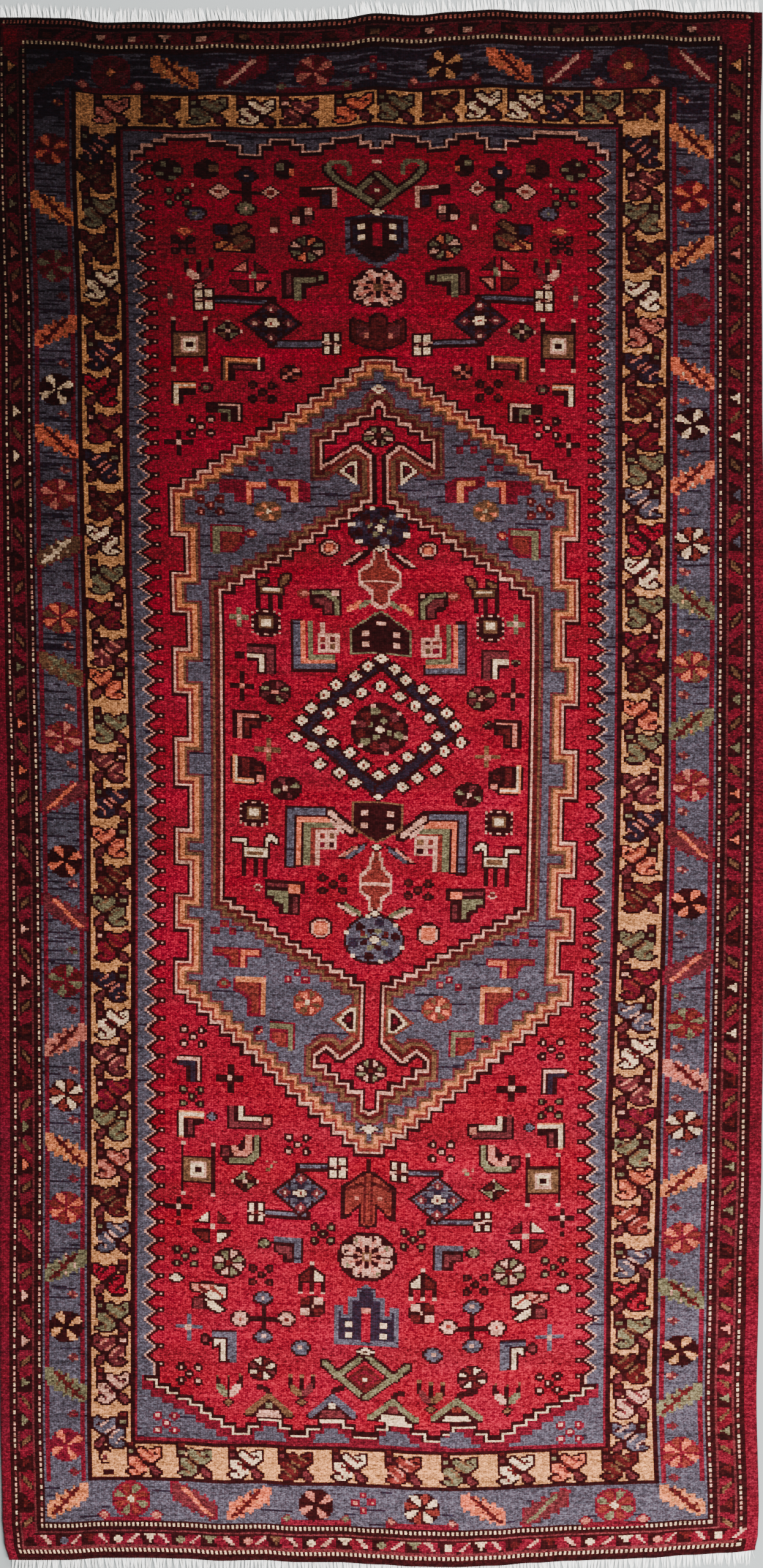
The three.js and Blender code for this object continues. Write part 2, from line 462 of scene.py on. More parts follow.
def quartered(pen, x, y, pale="p", dark="m", wide=12, high=9.4):
    pen = pen.at(x, y)
    pen.round("k", 0, 0, wide * 1.06, high * 1.08, 8)
    w, h = wide / 4, high / 4
    for dx, dy, yarn in ((-w, h, dark), (w, h, pale), (-w, -h, pale), (w, -h, dark)):
        pen.spot(yarn, dx, dy, wide / 2 - 2, high / 2 - 1.8)
    pen.spot(pale, 0, 0, 1.6, 1.4)


def bird(pen, x, y, wing="s", body="w", foot="v"):
    pen = pen.at(x, y)
    pen.area("k", -8.6, 6.4, -2, 7, 8, 6.6, 8, -0.6, 5, -2.6, 8, -4.6, 4.2, -7, -1, -5, -8.2, -5.4, -8.2,
            -1, -3.6, 1.6, -8.6, 2.4)
    pen.area(wing, -7.6, 5.4, -1, 6, 2.4, 5.8, -2.4, 1.8, -7.4, 3.2)
    pen.area(body, 2.6, 5.4, 6.8, 4.6, 7, 0.4, 2, -1, -1.4, 1.4)
    pen.line("t", 1.2, 0.4, 4.6, 5.6, 1.2)
    pen.line("m", 1.2, -4.6, 4.8, -1.6, 2.6)
    pen.area(body, -1.4, -0.6, 2.6, -1.8, 6.4, -4.8, 3.6, -5.8, -0.4, -3.8)
    pen.spot(foot, -5, -2.8, 4.4, 4)


def hooked(pen, x, y, outer="b", inner="w", flower_yarn="v"):
    """A bent flag in two colours with its corner at the upper right, and a flower at its left end."""
    pen = pen.at(x, y)
    pen.area("k", -6, 1, 5.2, 1, 5.2, -12, -2.6, -12, -2.6, -5.6, -6.4, -7)
    pen.line(outer, 2.2, -4.6, -0.4, 3.4, -0.4, 3.4, -11)
    pen.spot(outer, 3, -6, 3.4, 10)
    pen.line(inner, 1.7, -4.4, -4.6, -4, -3.3, -0.7, -3.3, -0.7, -11)
    pen.round("k", -8.8, -3, 5.2, 5.6, 8)
    pen.spot(flower_yarn, -8.8, -3, 2.6, 2.6)


def lower_field(pen):
    five_dots(pen, 87.3, 78.3)
    cross(pen, 86.7, 98.3, "b", "p", 12, 11.4, 1.7)
    hooked(pen, 103, 96.4)
    rosette(pen, 119.6, 81.6, 13.6, 10.6, "wmwvwmwv")
    tulip(pen, 104.6, 72, "g", "p", "e")
    tulip(pen, 137, 73, "e", "v", "e")
    flower(pen, 136.3, 91.4, "b", "p", 9.6, 7.6)
    # a cross of bars with a flower on each arm
    pen.line("k", 2.4, 120, 95, 120, 112)
    pen.line("k", 2.2, 110, 102.8, 130, 102.8)
    for x, y, body, heart in ((109.5, 102.7, "p", "t"), (130, 103.4, "p", "t")):
        flower(pen, x, y, body, heart, 9, 7.6)
    for x, y in ((119.8, 95.2), (119.6, 111.8)):
        flower(pen, x, y, "b", "p", 9.4, 6.8)
    legged_square(pen, 90.3, 165.4)
    small_diamond(pen, 111.2, 161.3)
    cross(pen, 82.2, 149.4, "k", "p", 11.4, 8.4, 2.3)
    pen.spot("k", 82.2, 142.4, 2.2, 2.8)
    four_triangles(pen, 97.2, 141.6, "w", "m")
    rosette(pen, 104.3, 126.4, 15.4, 13, "gpgpgpgp")
    five_dots(pen, 85.3, 128.2, "g")
    five_dots(pen, 118.6, 121.4, "m")
    flower(pen, 81.2, 119, "w", "w", 7.4, 4.6)
    bird(pen, 95.8, 111.2)
    house(pen, 141, 121.4)
    quartered(pen, 141.4, 109)
    # a bent slate flag over maroon, with a flower
    pen.area("k", 124, 138.4, 137, 138.4, 137, 127.6, 128, 127.6, 128, 130.6, 124, 131.6)
    pen.line("b", 2.3, 125.4, 136.8, 134.6, 136.8, 134.6, 128.8)
    pen.area("v", 125.4, 134.6, 132.2, 134.6, 132.2, 129, 129.6, 129, 129.6, 131.6, 125.4, 131.8)
    pen.line("k", 1, 121, 135, 125, 135.6)
    flower(pen, 119.6, 135, "g", "g", 6.6, 5.2)
    club(pen, 116, 148, 138.4)
    five_dots(pen, 145.5, 140.2, "g")
    blue_diamond(pen, 135.4, 157.4)
    club(pen, 151.8, 168.6, 135)
    pen.spot("s", 120.4, 170, 1.6, 1.4)
    pen.spot("g", 122.6, 168.4, 1.8, 1.6)
    pen.spot("s", 124.2, 170, 1.6, 1.4)
    pen.spot("e", 121.4, 166.8, 1.8, 1.4)
    five_dots(pen, 87.8, 221.7)
    five_dots(pen, 87.6, 196.2, "g")
    five_dots(pen, 133.8, 178)
    cross(pen, 104.3, 204.8, "k", "p", 12.4, 11.8)
    # a thin hook
    pen.area("k", 78.4, 211, 82, 213.6, 91.9, 213.6, 91.9, 202.4, 85.4, 202.4, 85.4, 208.6, 81, 209.4)
    pen.line("p", 1.1, 82, 212.3, 90.5, 212.3, 90.5, 203.4)
    pen.line("n", 1.7, 82.4, 210.5, 87.7, 210.5, 87.7, 203.4)
    # pale corners
    pen.area("k", 80.8, 190.4, 93, 190.4, 93, 184.6, 89.4, 184.4, 89.4, 179, 80.8, 179)
    bend(pen, "aw", (82.9, 180, 82.9, 188.7, 91.9, 188.7), (2.4, 1.2))
    pen.spot("v", 86.9, 183.4, 2.6, 6)
    flower(pen, 96.4, 188.2, "b", "b", 5.4, 4.6)
    pen.area("k", 102.8, 193.4, 111, 193.4, 111, 189.4, 122.8, 190, 122.8, 185, 120, 183.2, 102.8, 183.2)
    pen.line("v", 2.2, 105, 192.4, 105, 185.4, 119.6, 185.2)
    pen.line("w", 2, 108.9, 192.4, 108.9, 187.9, 117.4, 187.9)
    pen.spot("s", 120.3, 187.2, 3, 3)
    # a curled hook
    pen.area("k", 118, 180.6, 118, 172.6, 114.6, 168.4, 102.8, 168.4, 99.8, 172, 99.8, 176, 105.4, 176.8,
            108, 176.8, 110.6, 180.6)
    pen.line("g", 2.2, 115.9, 180, 115.9, 173, 113.2, 170.3, 105, 170.3)
    pen.line("s", 2.3, 112.4, 180, 112.4, 174.8, 110.2, 173, 107.4, 173.2, 106, 175.4)
    pen.spot("v", 102.6, 173.4, 2.6, 3)


def spandrels():
    """The slate corners at the field's foot, and the lozenges below its steps."""
    for x, y in ((76.8, 57.2), (MIDDLE * 2 - 78, 56.4)):
        five_dots(Pen(), x, y, "p", "c", 7.4, 6)
    for x, y in ((122.6, 52.8), (149.6, 53), (177.4, 53.2), (203.6, 54)):
        Pen().spot("b", x, y, 12.4, 3.8)
        Pen().spot("b", x, y + 3, 6, 2.8)


def lower_middle():
    for x, y, roof, base, heart, lean in ((122.5, 64.8, "e", "p", "g", -1), (150.6, 65.4, "b", "v", "w", 1),
            (177, 65, "g", "w", "v", 1), (204, 66, "g", "w", "t", 2)):
        tent(Pen(), x, y, roof, base, heart, lean)
    pen = Pen(MIDDLE)
    for half in halves():
        half.line("k", 3.6, -18, 85, -12, 80, 0, 71)
        half.line("k", 3.6, -12.6, 79.6, 0, 89.4)
        half.line("g", 1.9, -18, 85, -12, 80, 0, 71)
        half.line("g", 1.9, -12.6, 79.6, 0, 89.4)
    pen.diamond("m", 0, 79, 16, 11.6)
    pen.diamond("c", 0, 79, 11.4, 8)
    pen.diamond("m", 0, 79, 7.6, 5.4)
    pen.spot("w", 0, 78.8, 1.8)
    pen.round("k", 0, 90.6, 8.6, 4.6, 8)
    pen.diamond("w", 0, 90.6, 7.4, 3.6)
    pen.spot("k", 0, 90.6, 1.6, 1.2)
    # the castle: a dark block with a stepped top
    for half in halves():
        half.area("b", 0, 93, -14, 93, -14, 110, -9.6, 110, -9.6, 106.4, -7.6, 106.4, -7.6, 113.6, -4,
                113.6, -4, 117, 0, 119.6)
        half.area("n", 0, 95.4, -12.4, 95.4, -12.4, 108, -10.6, 108, -10.6, 104.6, -6, 104.6, -6, 112, -2.6,
                112, -2.6, 116, 0, 117.6)
        half.spot("w", -7.4, 102, 2.8, 2.2)
        half.spot("w", -7.4, 97.4, 2.8, 2)
        half.spot("n", -3.6, 110, 2, 2)
    pen.spot("r", 0, 101, 3.8, 12)
    pen.spot("s", 0, 108.4, 4.2, 2.4)
    # the large rosette of curls
    pen.round("k", 0, 131, 26.4, 21.6)
    for k, turn in enumerate(turns(8)):
        x, y = 8.4 * np.cos(turn), 131 + 7 * np.sin(turn)
        pen.round("p", x, y, 6.4, 5.2, 8)
        pen.round("k" if k % 2 else "g", 9.6 * np.cos(turn + 0.12), 131 + 8 * np.sin(turn + 0.12), 2.4, 1.9,
                6)
        pen.line("s", 1.2, 3 * np.cos(turn), 131 + 2.4 * np.sin(turn), x, y)
    pen.round("e", 0, 131, 5.4, 4.4, 8)
    pen.round("p", 0, 131, 2.6, 2.2, 6)
    # the palmette like a roof, in maroon
    for half in halves():
        half.area("k", 0, 168.6, -11.6, 161, -11.6, 147, -9.4, 147, -3.8, 151.6, -3.8, 143.6, 0, 143)
        half.area("t", 0, 167, -10.4, 160, -10.4, 149.8, -9, 148.6, -4.6, 153, -2.6, 153.4, -2.6, 144.8, 0,
                144.6)
        half.line("m", 1.2, -1.4, 165.4, -1.4, 146)
        half.line("m", 1.2, -9, 159.6, -1.6, 162.6)
        half.spot("s", -4.8, 155.6, 2.2, 1.8)
    pen.line("k", 1.6, 0, 168, 0, 172)


def blue_ground(pen):
    """The motifs between the medallion's two outlines, in its left half."""
    pen.area("c", 96, 260.6, 116.6, 260.6, 116.6, 257, 111.2, 256.4, 111.2, 251.8, 103.6, 251.8, 102.8, 255,
            100.6, 257, 96, 257)
    pen.area("t", 97.4, 259.4, 107, 259.4, 107, 253, 104.6, 253, 103.6, 256.4, 101, 258, 97.4, 258.2)
    pen.line("o", 2.1, 115.4, 258.6, 108.6, 258.6, 108.6, 252.8)
    pen.area("c", 104.6, 247.4, 119.4, 248.8, 119.4, 231.8, 111.4, 231.8, 111.4, 238, 108, 241, 104.6,
            242.4)
    pen.area("t", 106, 245.6, 116, 245.6, 116, 233, 112.6, 233, 112.6, 239.4, 109, 242.2, 106, 243.4)
    pen.line("a", 2.2, 106.8, 246.8, 117.8, 246.8, 117.8, 233)
    flower(pen, 101, 245, "t", "g", 6, 4.8, "c")
    for x, y in ((97, 267.4), (101, 270.2), (104.6, 267.2)):
        pen.spot("c", x, y, 3.2, 2.8)
        pen.spot("t", x, y, 1.2)
    for x, y in ((128.6, 248.4), (132.3, 251), (136.2, 248.6)):
        pen.spot("c", x, y, 3.4, 3)
        pen.spot("s", x, y, 1.5, 1.3)
    rosette(pen, 137.2, 238.6, 13.4, 11.4, "oeoeoeoe", "w", "t")
    pen.area("c", 120.6, 229.6, 132.4, 229.8, 132.4, 218.2, 120.6, 221.4)
    pen.line("g", 2, 122, 227.9, 130, 227.9, 130, 219)
    pen.area("t", 122, 225.6, 127.6, 225.6, 127.6, 219.4, 124.6, 219.4, 122, 223)
    flower(pen, 116.2, 225.9, "o", "k", 4.8, 3.8, "c")
    # towards the head
    pen.area("c", 100.4, 461.8, 112, 461.8, 118.8, 461.4, 118.8, 458.6, 114, 458.6, 114, 452.2, 106, 452.2,
            106, 455.6, 100.4, 456.4)
    pen.line("o", 2.4, 112.2, 453, 112.2, 460, 117.8, 460)
    pen.area("c", 120.4, 463.2, 133, 463.2, 136.6, 461, 136.6, 453, 126.6, 453, 126.6, 457, 120.4, 459.6)
    pen.line("a", 2.3, 124.8, 461, 130.4, 461, 130.4, 453.8)
    for x, y in ((124.2, 474.9), (130.4, 475.1), (127.2, 478.6), (114, 467), (120.6, 467), (117.4, 470.2)):
        pen.spot("c", x, y, 3.2, 2.6)
        pen.spot("v", x, y, 1.2)
    five_dots(pen, 96.4, 450.6, "s", "m", 8, 5.6)
    rosette(pen, 119.6, 448.8, 11.6, 9, "oeaeoeae", "w", "e")
    pen.area("c", 95.6, 442, 109.6, 442, 109.6, 433.8, 105.4, 429.8, 95.6, 429.8)
    pen.line("g", 2.2, 98.4, 430.6, 98.4, 440.2, 107.8, 440.4)
    pen.area("t", 101, 438.2, 107.6, 438.2, 107.6, 434.6, 104.6, 431.2, 101, 431.2)
    flower(pen, 112.7, 438.8, "o", "o", 5, 4, "c")


def star(pen, x, y):
    pen = pen.at(x, y)
    pen.diamond("k", 0, 0, 8.6, 7.4)
    pen.diamond("w", 0, 0, 5.6, 4.8)
    pen.spot("w", 0, 0, 3, 2.6)
    pen.spot("t", 0, 0, 1, 1)


def dotted_box(pen, x, y):
    pen = pen.at(x, y)
    pen.round("k", 0, 0, 14, 12.6, 8)
    pen.spot("e", 0, 0.4, 6.6, 5.2)
    pen.spot("w", 0, 0.4, 3.8, 3)
    for turn in turns(14):
        pen.spot("p", np.clip(7.4 * np.cos(turn), -5.6, 5.6), np.clip(6.6 * np.sin(turn), -4.8, 4.8), 1.1,
                1)


def animal(pen, x, y, body="e", edge="w"):
    """A four-cornered beast with a tail and a raised head, on dark legs."""
    pen = pen.at(x, y)
    for dx in (-4.4, 0, 4.6):
        pen.line("k", 2, dx, -9.4, dx, -2.4)
    bend(pen, ("k", edge), (-9, 5.2, -4.6, 5.2, -4.2, -0.6, 4.4, -0.6, 4.8, 5.6, 6.4, 7.4, 8.6, 5.4),
            (3.4, 1.4))
    pen.spot("k", 0.2, 0, 11, 5.4)
    pen.spot(edge, 0.2, 0, 9.6, 4.2)
    pen.spot(body, 0.2, 0, 7, 1.8)


def leaf_pair(pen, x, y, turn, yarns=("s", "b")):
    """Two narrow leaves that lean towards the middle."""
    pen = pen.at(x, y)
    pen.area("k", -7.2, -3.4 * turn, -2, 1.4 * turn, 6.4, 3.8 * turn, 4.4, 0.6 * turn, -2, -3.8 * turn)
    pen.line(yarns[0], 1.2, -5.4, -2.4 * turn, 1.4, 1.6 * turn)
    pen.line(yarns[1], 1.5, -2.2, -2.6 * turn, 4, 1.6 * turn)


def inner_field(pen):
    """The motifs inside the medallion's red panel, in its left half."""
    # a corner frame, open at the upper right
    pen.area("k", 102.8, 342.4, 112, 342.4, 118.4, 339, 118.4, 333, 113.4, 330, 105, 330, 102.8, 333)
    bend(pen, "aw", (105.2, 341.6, 105.2, 331.9, 112.2, 331.9), (2.2, 1.1))
    pen.spot("m", 109.4, 337.4, 2.6, 7.4)
    pen.spot("m", 114.4, 337.2, 3, 2.6)
    pen.spot("s", 115.6, 333.2, 3, 2.6)
    rosette(pen, 126.2, 329.6, 13.4, 10.8, "gkvkgkvk", "p")
    dotted_box(pen, 113, 318)
    dotted_box(pen, 118, 400.2)
    animal(pen, 113.8, 301.2)
    # the lower wing: bent bands of six yarns, with a chequered block in the corner
    for yarn, width, x, y, end in (("k", 5, 128.6, 320.2, 144), ("b", 3, 128.6, 320.2, 144),
            ("k", 4, 132.2, 316.9, 145), ("o", 2.4, 132, 316.9, 145), ("g", 2.2, 135.4, 314.4, 146),
            ("t", 2, 137.8, 312.4, 146), ("p", 2, 140.2, 311.4, 148)):
        pen.line(yarn, width, x, 298.2, x, y, end, y)
    pen.spot("p", 144.2, 307.8, 8.6, 8)
    for dx, dy, yarn in ((-2.2, 1.8, "t"), (2, 1.8, "e"), (-2.2, -1.8, "c"), (2, -1.8, "k")):
        pen.spot(yarn, 144.2 + dx, 307.8 + dy, 2.6, 2.4)
    pen.line("k", 4, 144.6, 320.2, 155, 311.4)
    pen.line("p", 1.8, 144.6, 319.8, 154.6, 311.6)
    pen.line("p", 1.2, 145.4, 316.4, 150.6, 311.6)
    leaf_pair(pen, 155.4, 303.6, 1)
    # the black heart
    five_dots(pen, 146.8, 289.2, "m", "k", 8.6, 5.4)
    pen.area("k", 117.6, 290, 134.8, 290, 134.8, 284.6, 133, 284.6, 133, 275.6, 124.4, 275.6, 124.4, 278.8,
            121, 279.4, 121, 282, 117.6, 282)
    pen.line("v", 1.8, 119.4, 287.9, 128, 287.9)
    pen.spot("o", 130.8, 287, 4.8, 3.4)
    pen.area("g", 119, 285.8, 128.4, 285.8, 128.4, 276.8, 125.8, 276.8, 125.8, 280.4, 122.4, 281, 122.4,
            283.6, 119, 283.6)
    pen.spot("v", 131.2, 280.2, 1.8, 6.8)
    flower(pen, 115, 286.8, "p", "m", 4.8, 5.2, "r")
    # small rosettes in coral
    for x, y, wide, high in ((142, 270.6, 11.4, 10), (144.3, 433.2, 9.4, 8)):
        pen.round("k", x, y, wide, high, 8)
        pen.round("p", x, y, wide - 2, high - 1.8, 8)
        pen.round("t", x, y, wide - 4, high - 3.6, 8)
        pen.spot("o", x, y, wide - 6, high - 5.2)
    leaf_pair(pen, 154.6, 278.2, -1, ("p", "g"))
    # flags
    pen.area("k", 110, 390.8, 121.8, 390.8, 121.8, 378.4, 113.8, 378.4, 113.8, 383.4, 110, 383.4)
    pen.line("v", 2.4, 111, 388.7, 119.5, 388.7, 119.5, 379.4)
    pen.line("w", 2, 111.2, 385.8, 116, 385.8, 116, 379.6)
    flower(pen, 107, 385.8, "g", "k", 5, 3.6)
    cross(pen, 108, 372.4, "k", "s", 10, 13.6, 2.7)
    rosette(pen, 121.6, 370.6, 13.6, 11, "gvkgvk", "s")
    pen.area("k", 104.4, 361.8, 115.6, 361.8, 115.6, 354.8, 111.6, 354.8, 111.6, 350, 104.4, 350)
    pen.line("s", 1.4, 106.9, 350.8, 106.9, 360, 114.4, 360)
    pen.area("m", 109, 357.8, 114, 357.8, 114, 355.6, 110.6, 355.6, 110.6, 351.2, 109, 351.2)
    flower(pen, 118.2, 359, "g", "k", 5, 4)
    cross(pen, 118.6, 345.8, "e", "s", 11.6, 9.6, 2)
    cross(pen, 107, 402, "g", "p", 8.6, 8.6, 2)
    # the upper wing
    for yarn, width, x, y, end in (("k", 4.6, 130.4, 382.2, 144.6), ("b", 2.6, 130.4, 382.2, 144.4),
            ("k", 2.6, 133.2, 384.4, 144.6), ("o", 2.2, 133.2, 384.4, 144.8), ("g", 2.2, 136, 386, 145)):
        pen.line(yarn, width, x, 400.6, x, y, end, y)
    pen.line("p", 2, 140.6, 400.4, 140.6, 390)
    pen.spot("p", 143.4, 392.2, 8.4, 8.6)
    for dx, dy, yarn in ((-2, 1.8, "t"), (1.8, 1.8, "m"), (-2, -1.8, "c"), (1.8, -1.8, "e")):
        pen.spot(yarn, 143.4 + dx, 392.2 + dy, 2.2, 2.2)
    # the upper beast, flag and leaves
    for dx in (115.2, 119.8, 124.4):
        pen.line("k", 2, dx, 407.6, dx, 413)
    bend(pen, "ke", (118.6, 418.6, 116, 417.6, 116, 414.2, 124.4, 414.2, 124.4, 417.6, 127, 420.4),
            (3.6, 1.8))
    pen.spot("k", 120.2, 414.4, 10.4, 4.4)
    pen.spot("e", 120.2, 414.4, 9, 2.8)
    pen.spot("w", 120.2, 414.9, 7, 1)
    pen.area("k", 136, 415.6, 148.8, 415.6, 148.8, 403.8, 141, 403.8, 141, 407, 136.6, 407.6)
    pen.line("g", 1.7, 137.6, 414.2, 143, 413.8, 146.8, 410.4, 146.8, 404.8)
    pen.area("v", 138, 412, 142.6, 412, 144.8, 409.6, 144.8, 405, 142.2, 405, 142.2, 408.6, 138, 409.4)
    pen.spot("p", 146.8, 413.8, 2.6, 2)
    flower(pen, 133.8, 413.6, "s", "s", 5.6, 4.2, "t")
    leaf_pair(pen, 156, 428.8, 1, ("p", "k"))
    pen.line("o", 2, 152.2, 406.6, 155.6, 409)
    pen.line("g", 1.8, 156.6, 407.6, 160, 409.6)
    for x, y in ((159.2, 382), (154.4, 377.8), (146.8, 374.4), (142, 369.8), (136.4, 364.2), (132.6, 358.8),
            (130, 352), (137, 348.2), (140.3, 340.4), (148.4, 336.9), (154.8, 332.6), (157, 370.6),
            (150, 367.3), (143.8, 362.2), (140, 354.6), (145.2, 349.6), (152.8, 345.4), (158.6, 340)):
        star(pen, x, y)


def diamond_of_stars():
    """The dark lines behind the stars; the stars are drawn over them."""
    for half in halves():
        path = (0, 383.4, -9, 377, -17, 371, -25, 362.4, -31, 356, -24, 350.4, -15, 342, -8, 335.4, 0,
                328.6)
        half.line("k", 5, *path)
        half.line("n", 2.6, *path)


def inner_middle():
    pen = Pen(MIDDLE)
    for x, y in ((0, 385.2), (0, 373.6), (0, 335.6)):
        star(pen, x, y)
    # dark rosettes: in the middle, and in slate and navy near the ends
    for y, wide, high, ground, petals in ((355.4, 25, 22.6, "k", "mvmg"), (266, 26.6, 22, "b", "kbnb"),
            (441, 26, 18.6, "n", "kbkn")):
        pen.round("k", 0, y, wide, high)
        pen.round(ground, 0, y, wide - 2.4, high - 2.2)
        for k, turn in enumerate(turns(12)):
            pen.round(petals[k % 4], wide * 0.34 * np.cos(turn), y + high * 0.34 * np.sin(turn), 4.6, 3.8,
                    6)
            if k % 2:
                pen.spot("w" if ground != "k" else "p", wide * 0.46 * np.cos(turn),
                        y + high * 0.45 * np.sin(turn), 2.2, 1.6)
        for k, turn in enumerate(turns(8)):
            pen.round("g" if k % 2 else "k", wide * 0.17 * np.cos(turn), y + high * 0.17 * np.sin(turn),
                    3.2, 2.6, 6)
        pen.spot("m", -5, y + 2.6, 2.4, 2)
        pen.spot("m", 5, y + 2.6, 2.4, 2)
        pen.diamond("k", 0, y, 6, 5)
        pen.spot("w", 0, y, 3.4, 1.2)
        pen.spot("w", 0, y, 1.4, 3)
    for half in halves():
        # the black heart below the stars, and the black house above them
        half.area("e", 0, 324.6, -11.4, 324.6, -11.4, 313.6, 0, 306.6)
        half.area("k", 0, 323.8, -10.4, 323.8, -10.4, 314.2, 0, 307.4)
        half.spot("p", -5.4, 319.8, 2.8, 2.2)
        half.spot("p", -5.4, 314.4, 2.8, 2.2)
        half.area("g", 0, 387, -12.6, 387.4, -12.6, 398.4, 0, 406)
        half.area("k", 0, 387.6, -11.6, 388, -11.6, 398, 0, 405.2)
        half.spot("p", -6.6, 396.2, 3, 2.4)
        half.spot("p", -6.6, 391.4, 3, 2.2)
        half.line("v", 1, 0, 389, 0, 399)
        half.line("v", 1, 0, 310, 0, 322)
        # vases
        for dots in ((-1.6, 303, -2.6, 296.6, -6.4, 293, -6.4, 286.2, -3, 283.6, -1.8, 278),
                (-2.2, 430.8, -3.4, 425.6, -8.2, 422.6, -8.6, 417.4, -4, 414, -3.6, 409.4, -1, 407)):
            half.area("t", 0, dots[1], *dots, 0, dots[-1])
            half.line("p", 1.2, *dots)
        half.line("p", 1.1, 0, 289.4, -6.4, 289.4)
        half.line("p", 1.1, 0, 418.4, -8.2, 418.4)
    for y in (326.6, 305, 276.8, 432):
        pen.diamond("k", 0, y, 6.6, 4)
        pen.diamond("w", 0, y, 5, 2.8)
    pen.spot("p", 0, 400.2, 3.2, 1.8)
    pen.diamond("k", 0, 185.4, 10, 5.4)
    pen.diamond("w", 0, 185.4, 8.6, 4)
    pen.diamond("w", 0, 500, 6.4, 5)
    pen.spot("t", 0, 500, 1.6, 1.4)
    rosette(pen, 0, 210, 14.4, 10.4, "gpgpgpgp")
    rosette(pen, 0, 480, 14, 9.4, "gpgpgpgp")


def anchors():
    """The small triangles beside the stem at both ends of the red panel."""
    for half in halves():
        half.area("t", -4.8, 222.6, -4.8, 238.4, -9, 238.4, -18, 231.6, -9, 225)
        half.area("e", -6, 225.6, -6, 237.2, -9.2, 237.2, -16.4, 231.6, -9.2, 226.2)
        half.area("w", -6.6, 226.8, -6.6, 236.8, -9.6, 236.8, -15.4, 231.6, -10, 226.8)
        half.area("k", -7.8, 228, -7.8, 235.6, -9.6, 235.2, -13.4, 231.6, -9.8, 228)
        half.spot("c", -10.2, 231.6, 2.4, 2.4)
        half.area("t", -4.2, 457, -4.2, 470, -9.6, 475, -22, 466, -17, 465, -11, 461)
        half.area("e", -5, 457, -5, 469.4, -9.8, 473.4, -19, 466.6, -12, 462)
        half.area("m", -7, 459, -7, 470.6, -12.4, 470.6, -17.4, 466.2, -9.4, 460)
        half.area("w", -8.6, 460, -8.6, 469.8, -12, 469.8, -16.4, 466.2, -9.6, 460)
        half.area("k", -9.9, 462, -9.9, 468.6, -12, 468.4, -14.6, 466.2)
        half.spot("c", -11.6, 466.4, 2, 2)


